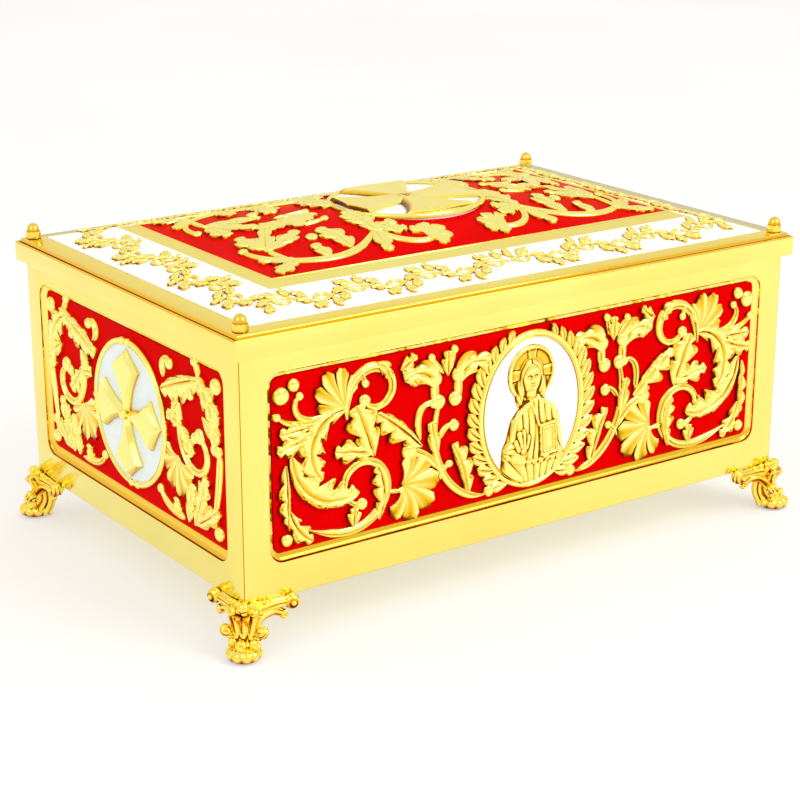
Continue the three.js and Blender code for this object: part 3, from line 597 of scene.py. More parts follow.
# %% The end walls
END_PANEL = dict(
    stems=[
        (61, 23, -98, 84, 305, 1.9, 6, 4.5),
        (44, 34, 135, 19, -190, 1.3, 5, 4.5),
        (105, 6, -95, 42, -10, 1, 5.5, 4),
        (64, -46, 180, 32, -60, 2.2, 5.5, 4),
        (78, 42, 250, 12, 0, 1, 3, 4),
        (84, 44, 120, 9, 0, 1, 4, 4),
    ],
    leaves=[
        (86, 43, 196, 48, 8, 17, 3, 1),
        (78, 42, -14, 35, -62, 16, 3, 0),
        (88, 22, -36, 20, 10, 10, 1, 0),
        (103, 33, -100, 30, 10, 10, 2, 0),
        (64, 11, 172, 17, 0, 10, 1, 0),
        (62, 10, -46, 20, -4, 13, 2, 0),
        (69, -46, 82, 26, -14, 12, 2, 0),
        (76, -46, 64, 36, 4, 14, 3, 0),
        (78, -45, 28, 30, 8, 12, 2, 0),
        (55, -47, 88, 12, 0, 8, 1, 0),
        (61, 24, 230, 14, 0, 9, 1, 0),
    ],
    fans=[(60, -9, 248, 25, 100, 6)],
    berries=[(102, 43, 5), (102, -43, 4.5), (83, 9, 5), (103, 6, 4)],
)

# %% A quarter of the lid, y towards the front
LID_PANEL = dict(
    stems=[
        (54, 44, 97, 44, 112, 1.3, 5, 4),
        (55, 44, 48, 112, -148, 1.4, 6, 4),
        (124, 37, 88, 22, 14, 1, 4, 4),
        (90, 11, 170, 22, 20, 1, 4, 3.5),
    ],
    leaves=[
        (54, 46, -97, 38, 6, 18, 3, 0),
        (55, 47, -150, 20, -10, 12, 1, 0),
        (53, 42, 139, 20, 30, 11, 2, 0),
        (56, 47, 80, 26, -10, 11, 1, 0),
        (81, 60, -106, 35, 40, 15, 2, 0),
        (99, 67, -92, 21, 0, 10, 1, 0),
        (119, 60, 38, 26, -5, 11, 2, 0),
        (119, 60, -20, 22, -25, 10, 1, 0),
        (126, 36, -165, 36, 24, 13, 2, 0),
        (124, 35, -118, 36, -4, 12, 1, 0),
        (123, 34, -72, 30, -30, 12, 2, 0),
    ],
    fans=[(30, 64, -158, 19, 100, 5), (76, 9, -60, 20, 90, 5), (100, 8, -100, 18, 60, 4)],
    berries=[(92, 34, 4)],
)
print("layouts ready")

# %% [markdown]
# ## Walls
# The box is folded from polished sheet: the edge of each window is rolled inwards in a soft lip,
# and the corners meet in a mitre. A Boolean cut would leave a sharp edge, so a wall is lofted from
# rounded rectangles: the back, the outer edge, the flat face, then the lip going down into the
# window, and last the seat of the enamel.

# %% Placing things on a wall
WALLS = {
    "front": (0, HALF_Y, WINDOW_HALF_LONG, HALF_X),
    "right": (90, HALF_X, WINDOW_HALF_END, HALF_Y),
    "back": (180, HALF_Y, WINDOW_HALF_LONG, HALF_X),
    "left": (270, HALF_X, WINDOW_HALF_END, HALF_Y),
}


def on_wall(side, depth=0.0):
    """Takes x along the wall, y up from the window's middle and z out of it to the casket."""
    turn, reach = WALLS[side][:2]
    c, s = cos_sin(turn)

    def change(points):
        x, out = points[:, 0], points[:, 2] + reach - depth
        return np.stack([c * x + s * out, s * x - c * out, points[:, 1] + WINDOW_MIDDLE], -1)

    return change


def rounded_ring(half_x, half_y, radius, z, steps=8, middle=(0, 0)):
    """A rounded rectangle, the same number of points whatever its size."""
    quarter = np.linspace(0, np.pi / 2, steps)
    ring = []
    for turn, sx, sy in ((0, 1, 1), (1, -1, 1), (2, -1, -1), (3, 1, -1)):
        angle = quarter + turn * np.pi / 2
        cx, cy = middle[0] + sx * (half_x - radius), middle[1] + sy * (half_y - radius)
        ring.append(np.stack([cx + radius * np.cos(angle), cy + radius * np.sin(angle)], -1))
    ring = np.concatenate(ring)
    return np.column_stack([ring, np.full(len(ring), z)])


print("a wall's turn, reach, half window and half length:", WALLS["front"])

# %% The four walls
def wall(side):
    window, half = WALLS[side][2:]
    lift = (BOX_BOTTOM + BOX_TOP) / 2 - WINDOW_MIDDLE
    tall = (BOX_TOP - BOX_BOTTOM) / 2
    # The last number of each frame step is its tone: darker along the rounded outer edge.
    frame_steps = ((WALL, 0, -WALL, 1), (0.05, 0, -0.6, 0), (0.25, 0.2, -0.15, 0), (0.7, 0.6, 0, 1))
    rings, tones = [], []
    for inset, drop, z, tone in frame_steps:
        rings.append(rounded_ring(half - inset, tall - drop, 0.2, z, middle=(0, lift)))
        tones.append(tone)
    deep = 0.6 if window > 120 else 2.4
    lip = ((4.1, 0, 1), (3.95, 0.12, 0.9), (3.75, 0.05, 0.2), (3.65, -0.9, 0.0), (3.35, -1.6, 0.45),
           (2.7, -2.3, 0.6), (1.7, -2.8, 0.55), (0.6, -3.1, 0.4), (0.1, -3.4, 0.1), (0, -4.6, 0.0))
    for out, z, tone in lip:
        more = deep * out / 4.1
        size = (window + out, WINDOW_HALF_HEIGHT + out + more / 2)
        rings.append(rounded_ring(*size, WINDOW_CORNER + out, z, middle=(0, -more / 2)))
        tones.append(tone)
    rings = np.array(rings)
    # Painted shade and reflection: the lip into the window darkens along the bottom of the window only, and
    # stays pale on the top and sides.
    low = np.clip(-rings[:, :, 1] / WINDOW_HALF_HEIGHT * 12 - 10.5, 0, 1)
    tones = np.array(tones)[:, None]
    lip_tones = tones * low + (0.8 + 0.2 * tones) * (1 - low)
    relief = np.where(np.arange(len(rings))[:, None] < len(frame_steps), tones, lip_tones)
    return placed([loft(rings, relief)], on_wall(side))


walls = [part for side in WALLS for part in wall(side)]
floor_rings = [
    rounded_ring(HALF_X - WALL - d, HALF_Y - WALL - d, 0.5, z)
    for d, z in ((0.6, BOX_BOTTOM), (0, BOX_BOTTOM + 0.6), (0, BOX_BOTTOM + FLOOR))
]
piece("box_walls", walls, "polished_gold", replaces=["casket_box"], crease=28)
piece("box_floor", [loft(floor_rings)], "polished_gold", round_edge=0.3)

# %% [markdown]
# ## Window grounds and scrollwork
# The ground is a plate of red enamel. The scrollwork stands on it in one sheet of gold, so it is
# one piece here too, laid on the plate and mirrored about the middle. Parts that would mostly lie
# under the medallion are left out, and the ring hides the ends of the rest.

# %% The medallions' sizes and the wreath
LONG_WALLS = ("front", "back")


def half_size(node, axis):
    low, high = box_mm(node)
    return (high[axis] - low[axis]) / 2, (high[2] - low[2]) / 2


MEDALLION = {side: half_size(f"{side}_medallion", 0 if side in LONG_WALLS else 1) for side in WALLS}
print("half sizes of the medallions:", MEDALLION)


def wreath(half_x, half_y):
    """The row of pointed leaves outside the ring of the front medallion."""
    leaves = []
    for place in np.linspace(-64, 62, 14):
        c, s = cos_sin(place)
        tangent = math.degrees(math.atan2(half_y * c, -half_x * s))
        length = 15 - 5 * min(max((place - 25) / 35, 0), 1)
        x, y = (half_x - 2.5) * c, (half_y - 2.5) * s
        leaves.append(leaf(x, y, tangent - 52, length, 30, 0.5 * length, 0, fullness=0.89))
    return leaves


# %% Grounds and scrolls
def outside_oval(parts, half_x, half_y):
    """Keeps the parts that have most of their points outside the medallion."""
    kept = []
    for part in parts:
        inside = (part[0][:, 0] / half_x) ** 2 + (part[0][:, 1] / half_y) ** 2 < 1
        if inside.mean() < 0.5:
            kept.append(part)
    return kept


# For each wall, faces turned this way get painted light and faces turned away get painted shade.
PAINTED_LIGHT_DIRECTION = {"front": (0.4, 0, 0.3), "right": (0, 0.4, 0.3), "back": (-0.4, 0, 0.3), "left": (0, -0.4, 0.3)}
for side, (half_x, half_y) in MEDALLION.items():
    place = on_wall(side, GROUND_DEPTH)
    clear = 0.35
    size = (WALLS[side][2] - clear, WINDOW_HALF_HEIGHT - clear, WINDOW_CORNER)
    ground = loft([rounded_ring(*size, z) for z in (-1.7, -0.3, 0.0)])
    piece(f"{side}_ground", placed([ground], place), "red_enamel", replaces=[f"{side}_panel"])
    layout = LONG_PANEL if side in LONG_WALLS else END_PANEL
    parts = outside_oval(ornament(**layout), half_x - UNDER_RING, half_y - UNDER_RING)
    if side in LONG_WALLS:
        parts += wreath(half_x, half_y)
    piece(f"{side}_scrollwork", placed(both_sides(parts), place), "relief_gold", painted_light_direction=PAINTED_LIGHT_DIRECTION[side])

# %% [markdown]
# ## Medallions
# Each medallion is an enamel plate in a rounded gold ring. The front one holds a half figure with
# a halo, a raised hand and a book. The ends and the back hold a cross with flared arms. The ring
# could be a bevelled curve, but a section carried round an oval also takes the fine bead. The
# cross is one arm turned four times.

# %% Rings and plates
def ring_part(half_x, half_y, width, height, base=0.3):
    """An oval ring with a fine bead along its inner edge."""
    # The last number of each step is its tone: painted shade at both feet of the ring and in the groove
    # beside the bead.
    section = ((0, 0, 0.1), (0.02, 0.5, 0.5), (0.12, 0.8, 0.8), (0.32, 1.0, 1), (0.6, 0.96, 1),
               (0.8, 0.74, 0.6), (0.86, 0.72, 0.3), (0.9, 0.86, 0.8), (0.97, 0.8, 0.8), (1, 0.4, 0.3),
               (1, 0, 0.1))
    insets, rises, tones = np.array(section).T
    rings = [
        oval_ring(half_x - inset * width, half_y - inset * width, base + rise * height)
        for inset, rise in zip(insets, rises)
    ]
    return tube(rings, tones)


def plate_part(half_x, half_y, top, bottom=0.3):
    return loft([oval_ring(half_x, half_y, bottom), oval_ring(half_x, half_y, top)])


# %% The cross
def cross_arm(length, point, waist, flare, height, power, bevel):
    """One arm along +x, flaring to a point: bevelled edges and a shallow valley down its middle."""
    shoulder = length - point
    a = np.concatenate([np.linspace(-1.7, shoulder, 30), np.linspace(shoulder, length, 24)[1:]])[:, None]
    wide = waist + (flare - waist) * np.clip(a / shoulder, 0, 1) ** power
    wide = wide * np.clip((length - a) / point, 0.01, 1) ** 1.15
    v = np.linspace(-1, 1, 41)[None, :]
    slant = math.hypot(point, flare) / flare
    rim = (1 - np.abs(v)) * wide / np.where(a > shoulder, slant, 1.0)
    depth = np.clip(rim / bevel, 0, 1)
    valley = np.clip(1 - np.abs(v) * 1.15, 0, 1) * np.clip(a / shoulder, 0, 1)
    share = 0.32 + 0.68 * depth - 0.3 * valley
    # Painted shade on the bevels and near the middle, where the arms meet.
    tone = 0.40 + 0.40 * depth - 0.35 * np.exp(-np.abs(a) / 5)
    return shell(a + 0 * v, v * wide, height * share, tone, foot=-0.3)


def turned(parts, degrees, stretch=1.0):
    c, s = cos_sin(degrees)
    turning = np.array([[c * stretch, s, 0], [-s * stretch, c, 0], [0, 0, 1]])
    return placed(parts, lambda points: points @ turning)


def cross(*arm, stretch=1.0):
    return [part for angle in (0, 90, 180, 270) for part in turned([cross_arm(*arm)], angle, stretch)]


print("a cross has", 4 * len(cross_arm(38, 11, 3.2, 14, 4.0, 1.7, 2.6)[1]), "faces")

# %% [markdown]
# ## The half figure
# The figure is pushed up out of a gold sheet, so every place on it has one height. It could be
# sculpted, but heights can be written as formulas: the halo, robe, hair, face, hand and book each
# give one, and the highest wins and brings its own painted shade. Where the height lies below its
# own blurred copy there is a fold, and there the gold gets painted shade.

# %% Forms for the figure
def smooth_max(a, b, blend=0.4):
    return blend * np.logaddexp(a / blend, b / blend)


def mound(x, y, cx, cy, rx, ry, height):
    return height * (1 - ((x - cx) / rx) ** 2 - ((y - cy) / ry) ** 2)


def spot(x, y, cx, cy, rx, ry):
    return np.exp(-(((x - cx) / rx) ** 2) - ((y - cy) / ry) ** 2)


def pleats(u, pitch, depth):
    """Rounded folds of cloth with sharp valleys between them."""
    return depth * (np.abs(np.sin(np.pi * u / pitch)) ** 0.7 - 0.55)


def fade(value, low, high):
    u = np.clip((value - low) / (high - low), 0, 1)
    return u * u * (3 - 2 * u)


def capsule(x, y, start, end, radius, height):
    """A rounded finger between two places."""
    start, end = np.array(start, float), np.array(end, float)
    along = end - start
    u = np.clip(((x - start[0]) * along[0] + (y - start[1]) * along[1]) / (along @ along), 0, 1)
    away = np.hypot(x - start[0] - u * along[0], y - start[1] - u * along[1])
    return height - 1.8 * (away / radius) ** 2


# %% Halo, hair and face
HEAD_X, FACE_Y = -1.2, 19.3


def halo(x, y):
    r = np.hypot(x + 0.8, y - 22.5)
    bars = np.minimum(np.abs(x + 0.8), np.abs(y - 22.5)) - (2.0 + 0.10 * r)
    disc = 1.1 + 1.3 * ridge(r - 16, 1.1) + 0.7 * fade(-bars, -0.4, 0.4) - 0.5 * ridge(bars, 0.4) * (r < 15)
    return np.minimum(disc, (17.6 - r) * 3.5)


def hair(x, y):
    u, w = x - HEAD_X, y - FACE_Y
    cap = mound(x, y, HEAD_X, FACE_Y + 2.8, 10.2, 11.4, 5.4)
    for lean in (-1, 1):
        cap = smooth_max(cap, mound(x, y, HEAD_X + lean * 8.0, FACE_Y - 7.0, 4.0, 10.0, 4.6))
    strands = pleats(7.5 * np.hypot(u / 6.4, w / 9.0) + 0.04 * w, 2.6, 0.7)
    parting = 1.2 * ridge(u, 0.6) * fade(w, 7, 9)
    opening = 1 - (u / 6.4) ** 2 - ((w - 0.2) / 8.6) ** 2
    return np.where(cap > 0.3, cap + strands - parting, cap) - 7 * fade(opening, -0.05, 0.10)


def face(x, y):
    u, w = x - HEAD_X, y - FACE_Y
    inside = 1 - (u / 6.7) ** 2 - (w / 9.2) ** 2
    height = np.where(inside > 0, 2.0 + 3.6 * np.sqrt(np.clip(inside, 0, 1)), -9)
    brows = ridge(w - 3.2 + 0.06 * (np.abs(u) - 2.4) ** 2, 0.5) * fade(np.abs(u), 0.5, 1.3)
    height = height + 0.8 * brows * fade(5.0 - np.abs(u), 0, 0.8)
    for lean in (-1, 1):
        height = height - 1.5 * spot(u, w, lean * 2.4, 1.7, 1.7, 0.9)
        height = height + 1.0 * spot(u, w, lean * 2.4, 1.4, 0.9, 0.45)
        height = height + 0.4 * spot(u, w, lean * 3.2, -1.6, 1.5, 1.5)
    nose = ridge(u, 0.65 + 0.11 * np.clip(3 - w, 0, 6)) * fade(3.6 - w, 0, 1.2)
    height = height + nose * fade(w + 2.4, 0, 0.6) * (0.8 + 0.24 * np.clip(3 - w, 0, 6))
    height = height + 0.7 * ridge(w + 3.6 + 0.07 * u**2, 0.55) * ridge(u**2, 2.9**2)
    height = height - 1.1 * ridge(w + 4.5, 0.35) * ridge(u**2, 1.8**2)
    beard = mound(x, y, HEAD_X, FACE_Y - 8.6, 5.0, 6.2, 6.2)
    beard = beard + pleats(u * (1 - 0.03 * w), 1.7, 0.6)
    return smooth_max(height, np.where(w < -5.2 - 0.06 * u**2, beard, -9), 0.3)


# %% Robe, hand and book
def robe(x, y):
    left = np.interp(y, [-45, -35, -22, -17, -5, 1, 6], [-22, -22.5, -21.5, -19.5, -16, -11, -5])
    right = np.interp(y, [-45, -35, -20, -6, 0, 4, 8], [25, 25, 23.5, 21, 17, 11, 6])
    inset = np.minimum(np.minimum(x - left, right - x), 10 - y)
    body = np.minimum(3.4 + 2.2 * (1 - ((x - 1.5) / 25) ** 2), inset * 1.8)
    chest = pleats(x + 0.16 * y + 0.006 * y**2, 4.6, 1.5) * (0.7 + 0.3 * np.sin(0.5 * x + 0.2 * y))
    mantle = pleats(x + 0.42 * y - 0.008 * (y + 20) ** 2, 4.7, 1.6) * (0.7 + 0.3 * np.sin(0.4 * x - 0.2 * y))
    on_mantle = fade(x + 0.42 * y, 0, 1.2) * fade(y, -31, -29)
    cloth = chest * (1 - on_mantle) + mantle * on_mantle
    skirt = pleats(x - 0.04 * (x - 2) * (y + 34), 5.8, 1.4) * (0.75 + 0.25 * np.sin(0.6 * x))
    low = fade(-y, 33.5, 34.5)
    cloth = cloth * (1 - low) + skirt * low
    elbow = np.degrees(np.arctan2(y + 22, x + 25))
    sleeve = fade(-x, 6, 9) * fade(-y, 17, 20)
    cloth = cloth * (1 - sleeve) + pleats(elbow, 24, 1.6) * sleeve
    band = 1.3 * ridge(x + 0.42 * y + 0.3, 0.8) * fade(y, -31, -29)
    belt = 1.1 * ridge(y + 31.6 + 0.02 * x, 1.2) * fade(x, -9, -7)
    return np.where(inset > -0.6, body + cloth * fade(inset, 0, 2.5) + band + belt + 1.2 * sleeve, -3)


def hand(x, y):
    palm = mound(x, y, -3.2, -22.5, 5.0, 5.2, 9.2)
    for start, end, radius in (
        ((-4.8, -20), (-5.8, -12.5), 1.5),
        ((-2.6, -20), (-2.8, -11.8), 1.5),
        ((-0.6, -21), (0.8, -15.5), 1.4),
        ((-6.6, -22), (-8.4, -17.5), 1.5),
    ):
        palm = smooth_max(palm, capsule(x, y, start, end, radius, 8.6), 0.25)
    cuff = capsule(x, y, (-8.5, -26.5), (-5.0, -28.5), 3.4, 8.2) + pleats(x - y, 2.2, 0.5)
    return smooth_max(palm, cuff, 0.25)


def book(x, y):
    c, s = cos_sin(4)
    u, w = c * (x - 14.2) + s * (y + 19.5), -s * (x - 14.2) + c * (y + 19.5)
    inset = np.minimum(6.9 - np.abs(u), 10.6 - np.abs(w))
    height = np.minimum(8.4, 3.0 + inset * 6.0) - 1.1 * fade(inset, 1.5, 2.0)
    height = np.where(inset > -0.8, height + 0.9 * ridge(inset - 3.0, 0.45), -3)
    fingers = mound(x, y, 12.5, -30.2, 5.4, 3.2, 8.6) + pleats(x + 0.4 * y, 2.4, 0.8)
    return np.maximum(height, fingers)


def half_figure(half_x, half_y):
    rows, columns = 250, 150
    y = np.linspace(-(half_y - 5.2), 41.0, rows)[:, None]
    limit = np.minimum(27, (half_x - 4.4) * np.sqrt(np.clip(1 - (y / (half_y - 4.3)) ** 2, 0, 1)))
    x = np.linspace(-1, 1, columns)[None, :] * limit
    y = y + 0 * x
    height, shade = np.full(x.shape, -0.6), np.full(x.shape, 0.5)
    neck = mound(x, y, HEAD_X, FACE_Y - 12, 5.2, 7, 5.2)
    # Each form brings a painted shade: hair, halo and neck darker, face, hand and book paler.
    layers = ((halo(x, y), 0.46), (robe(x, y), 0.64), (hair(x, y), 0.44), (neck, 0.5),
              (face(x, y), 0.70), (hand(x + 5, y + 1), 0.78), (book(x + 3.5, y), 0.72))
    for layer, tone in layers:
        shade = np.where(layer > height, tone, shade)
        height = np.maximum(height, layer)
    blurred = height
    for _ in range(14):
        padded = np.pad(blurred, 1, mode="edge")
        blurred = (padded[:-2, 1:-1] + padded[2:, 1:-1] + padded[1:-1, :-2] + padded[1:-1, 2:]) / 4
    # Painted shade in the folds, below the blurred height, and paler gold where the height stands above it.
    return shell(x, y, 0.5 * height, shade + 1.3 * (height - blurred), foot=-0.6)


# %% Put the medallions in
PLATE_TOP = 1.7


def end_medallion_gold(half_x, half_y):
    """A cross with a boss, and pairs of knobs where the ring meets its arms' directions."""
    parts = lifted(cross(39.5, 11, 2.6, 15, 4.6, 1.9, 2.6), PLATE_TOP - 0.1)
    parts += lifted([berry(0, 0, 3.2, 3.0)], PLATE_TOP + 3.6)
    for angle in (4, 94, 184, 274):
        for c, s in (cos_sin(angle - 5), cos_sin(angle + 5)):
            parts.append(berry((half_x - 2) * c, (half_y - 2) * s, 2.6, 3.6))
    return parts


for side, (half_x, half_y) in MEDALLION.items():
    place, long_wall = on_wall(side, GROUND_DEPTH), side in LONG_WALLS
    gold = [ring_part(half_x, half_y, *((4.5, 3.0) if long_wall else (4.0, 2.6)))]
    if side == "front":
        figure = placed(lifted([half_figure(half_x, half_y)], PLATE_TOP), place)
        piece("front_figure", figure, "relief_gold", crease=60, painted_light_direction=PAINTED_LIGHT_DIRECTION[side])
    elif side == "back":
        gold += lifted(cross(38, 11, 3.2, 14, 4.0, 1.7, 2.6, stretch=0.8), PLATE_TOP - 0.1)
    else:
        gold += end_medallion_gold(half_x, half_y)
    plate = placed([plate_part(half_x - 1, half_y - 1, PLATE_TOP)], place)
    white = "white_enamel" if long_wall else "pale_enamel"
    piece(f"{side}_plaque", plate, white, replaces=[f"{side}_medallion"])
    piece(f"{side}_ring", placed(gold, place), "relief_gold", crease=30, painted_light_direction=PAINTED_LIGHT_DIRECTION[side])

# %% [markdown]
# ## The lid
# The lid's edge is a flat skirt, a small bead, a groove and a ledge. Above the ledge the white
# border slopes up to a gold band, and the red panel swells like a pillow inside it. A profile
# could be screwed round, but the lid is oblong, so it is one loft of rounded rectangles: from its
# inside, round the skirt and up to the seats of the plates.

# %% The lid's edge
def lid_edge():
    """Half sizes, height and tone of each ring, from the inside of the lid round to its seat."""
    x, y = HALF_X + OVERHANG, HALF_Y + OVERHANG
    hollow_x, hollow_y = HALF_X - WALL, HALF_Y - WALL
    inside_x, inside_y = HALF_X + 0.6, HALF_Y + 0.6
    rim = BOX_TOP + GAP
    seat, lining = SHEET + 0.3, SHEET + 1.8
    steps = [
        (*DOME_EDGE[:2], SKIRT_TOP + DOME_EDGE[2] - lining, 1),
        (*INNER_BORDER[:2], SKIRT_TOP + INNER_BORDER[2] - lining, 1),
        (hollow_x, hollow_y, SKIRT_TOP - 2, 1),
        (hollow_x, hollow_y, rim, 1),
        (inside_x, inside_y, rim, 1),
        (inside_x, inside_y, SKIRT_BOTTOM + 0.4, 1),
        (inside_x + 0.4, inside_y + 0.4, SKIRT_BOTTOM, 1),
    ]
    skirt = ((0.6, 0, 1), (0.15, 0.2, 1), (0, 0.7, 1), (0, SKIRT_HEIGHT - 1.1, 1))
    steps += [(x - inset, y - inset, SKIRT_BOTTOM + z, tone) for inset, z, tone in skirt]
    # The tones paint shade into the groove behind the bead and where the ledge drops to the border's seat.
    bead = ((0.1, -0.6, 0.7), (0.35, -0.2, 0.6), (0.8, 0, 0.6), (1.5, -0.1, 0.4), (1.6, -1, 0.05),
            (2.4, -1, 0.05), (2.5, 0.7, 0.45), (2.7, 1.4, 0.6), (3.2, 1.9, 0.7), (3.9, 2.2, 0.75))
    steps += [(x - inset, y - inset, SKIRT_TOP + z, tone) for inset, z, tone in bead]
    seat_x, seat_y = OUTER_BORDER[0] + GAP, OUTER_BORDER[1] + GAP
    ledge = ((3, 2.2, 0.85), (2.2, 2.6, 0.85), (1.2, 2.9, 0.85), (0.3, 2.7, 0.85), (0, 1.2, 0.2))
    steps += [(seat_x + out, seat_y + out, SKIRT_TOP + z, tone) for out, z, tone in ledge]
    for half_x, half_y, rise in (INNER_BORDER, DOME_EDGE):
        steps.append((half_x, half_y, SKIRT_TOP + rise - seat, 1))
    rings = [rounded_ring(half_x, half_y, 0.9, z, steps=5) for half_x, half_y, z, _ in steps]
    return loft(rings, np.array(steps)[:, 3:])


piece("lid_edge", [lid_edge()], "polished_gold", replaces=["lid_shell"], crease=32)

# %% The sloping plates
def slope_plate(outer, inner, lip=0.0):
    """A frame between two level rectangles (half length, half width, rise), with soft edges."""
    steps = [(outer, 0, -SHEET), (outer, 0, -0.3), (outer, -0.35, 0.05)]
    steps += [(inner, GAP + 1.6, -0.3), (inner, GAP + 1.0, lip), (inner, GAP + 0.4, lip)]
    steps += [(inner, GAP, -0.3), (inner, GAP, -SHEET)]
    rings = [
        rounded_ring(half_x + out, half_y + out, 0.4, SKIRT_TOP + rise + z, steps=4)
        for (half_x, half_y, rise), out, z in steps
    ]
    return tube(rings, np.ones(len(rings)))


piece("white_border", [slope_plate(OUTER_BORDER, INNER_BORDER)], "white_enamel",
      replaces=["lid_border"], crease=20)
piece("gold_band", [slope_plate(INNER_BORDER, DOME_EDGE, lip=0.5)], "polished_gold",
      replaces=["lid_band"], crease=20)

# %% [markdown]
# ## The dome and its scrollwork
# The pillow is a parabola across and along, level at its edge and cut flat under the medallion.
# A Shrinkwrap could lay ornament on it, but would squash the relief, so the ornament is made on a
# flat sheet and every point is lifted by the dome's height below it.

# %% The dome
PLAQUE_X, PLAQUE_Y = (plaque_high[0] - plaque_low[0]) / 2, (plaque_high[1] - plaque_low[1]) / 2
SEAT = plaque_low[2]


def dome_height(x, y):
    across = np.clip(np.abs(x) / DOME_EDGE[0], 0, 1)
    along = np.clip(np.abs(y) / DOME_EDGE[1], 0, 1)
    return SKIRT_TOP + DOME_EDGE[2] + DOME_RISE * (1 - across**2) * (1 - along**2)


def on_dome(points):
    x, y, z = points.T
    return np.stack([x, y, z + dome_height(x, y)], -1)


def dome_part():
    x, y = np.meshgrid(np.linspace(-1, 1, 81) * (DOME_EDGE[0] - 0.1),
                       np.linspace(-1, 1, 51) * (DOME_EDGE[1] - 0.1), indexing="ij")
    under = (x / PLAQUE_X) ** 2 + (y / PLAQUE_Y) ** 2 < 0.93
    height = np.where(under, np.minimum(dome_height(x, y), SEAT), dome_height(x, y))
    return shell(x, y, height, np.ones(x.shape), foot=SKIRT_TOP + DOME_EDGE[2] - SHEET)


lid_parts = outside_oval(ornament(**LID_PANEL), PLAQUE_X - UNDER_RING, PLAQUE_Y - UNDER_RING)
lid_parts = placed(both_sides(both_sides(lid_parts), 1), lambda points: points * [1, 1, 0.75])
piece("dome", [dome_part()], "red_enamel", replaces=["lid_panel"])
# The direction gives painted light to faces turned towards it and painted shade to the rest.
piece("dome_scrollwork", placed(lid_parts, on_dome), "relief_gold", painted_light_direction=(0.25, -0.2, 0.3))

# %% The lid's medallion
gold = lifted(cross(39, 2.0, 8.5, 23, 3.6, 1.9, 3.6, stretch=1.14) + [berry(0, 0, 3.4, 3.2)], 1.0)
gold += [ring_part(PLAQUE_X, PLAQUE_Y, 4.0, 2.8, base=0.0)]
plate = plate_part(PLAQUE_X - 1, PLAQUE_Y - 1, SEAT + 1.4, bottom=SEAT - 2.5)
piece("lid_plaque", [plate], "white_enamel", replaces=["lid_medallion"])
# The direction gives painted light to faces turned towards it and painted shade to the rest.
piece("lid_ring", lifted(gold, SEAT), "relief_gold", crease=30, painted_light_direction=(0.5, -0.5, 0))

# %% [markdown]
# ## The running border
# Gold sprays run along the white border. Each is half a wave of vine with a curl in its hollow and
# a tuft of leaves on its crest, and every second one is turned over, so that the wave runs on. The
# sprays are laid flat, then lifted onto the slope of their side.

# %% Border sprays
def spray(flip):
    parts = stem(0, 0, 44, 25, -88, 1, 2.2, 1.8, 1.5, knob=False)
    parts += stem(3, 2, -58, 21, 230, 1.3, 2.4, 1.8, 1.6)
    parts += [
        leaf(4, 4, 112, 9.5, -50, 6, 1, 0, 1.7),
        leaf(10, 5, 60, 10.5, -60, 6.4, 1, 0, 1.7),
        leaf(16, 3, 0, 9.5, -40, 5.6, 1, 0, 1.7),
        leaf(18, 0, -80, 10, 60, 6, 1, 0, 1.7),
    ]
    return reflected(parts, 1) if flip else parts


def onto_slope(points):
    """Lifts flat parts onto whichever slope of the border is lower at each point."""
    rises = []
    for axis in (0, 1):
        outer, inner = OUTER_BORDER[axis], INNER_BORDER[axis]
        share = (outer - np.abs(points[:, axis])) / (outer - inner)
        rises.append(OUTER_BORDER[2] + share * (INNER_BORDER[2] - OUTER_BORDER[2]))
    return points + np.stack([0 * rises[0], 0 * rises[0], SKIRT_TOP + np.minimum(*rises)], -1)


def border_side(side):
    turn, reach, _, half_length = WALLS[side]
    inset = 23.9 if side in LONG_WALLS else 27.8
    pitch, corner = 24.5, 17
    parts = []
    for k in range(int((half_length - corner) / pitch)):
        parts += placed(spray(k % 2 == 1), lambda points: points + [1 + k * pitch, inset - reach, 0])
    return placed(turned(both_sides(parts), turn), onto_slope)


sprays = [part for side in WALLS for part in border_side(side)]
# The direction gives painted light to faces turned towards it and painted shade to the rest.
piece("border_sprays", sprays, "relief_gold", painted_light_direction=(0.3, -0.25, 0.4))

# %% [markdown]
# ## Finials
# Each corner of the ledge carries a dome nut. Its hexagon has chamfered corners, as a cone cuts
# them, and its cap is a half ball. A hexagon with bevels could do, but a loft whose reach is the
# lesser of a hexagon and a circle gives the curved chamfers by itself.

# %% Dome nuts
def dome_nut():
    angle = np.linspace(0, 2 * np.pi, 48, endpoint=False)
    flat = 4.2
    hexagon = flat / np.cos((angle + np.pi / 6) % (np.pi / 3) - np.pi / 6)
    rings = []
    for z, limit in ((0.0, 4.1), (0.0, 4.5), (0.4, 4.75), (3.6, 4.75), (4.1, 4.4), (4.3, 4.1)):
        reach = np.minimum(hexagon, limit)
        rings.append(oval_ring(reach, reach, z, 48))
    for bend in np.linspace(0.02, 0.96, 9) * np.pi / 2:
        reach = 4.0 * math.cos(bend)
        rings.append(oval_ring(reach, reach, 4.4 + 5.0 * math.sin(bend), 48))
    # Painted shade at the foot of the nut and where the hexagon meets the cap.
    tones = [0.1, 0.3, 0.5, 0.62, 0.62, 0.2, 0.3] + [0.52] * 8
    return loft(rings, np.array(tones)[:, None])


CORNERS = {"front_left": (-1, -1), "front_right": (1, -1), "back_right": (1, 1), "back_left": (-1, 1)}
for name in CORNERS:
    low, high = box_mm(f"finial_{name}")
    foot_of_nut = [(low[0] + high[0]) / 2, (low[1] + high[1]) / 2, low[2]]
    nut = placed([dome_nut()], lambda points: points + foot_of_nut)
    piece(f"nut_{name}", nut, "cast_gold", replaces=[f"finial_{name}"], crease=30)

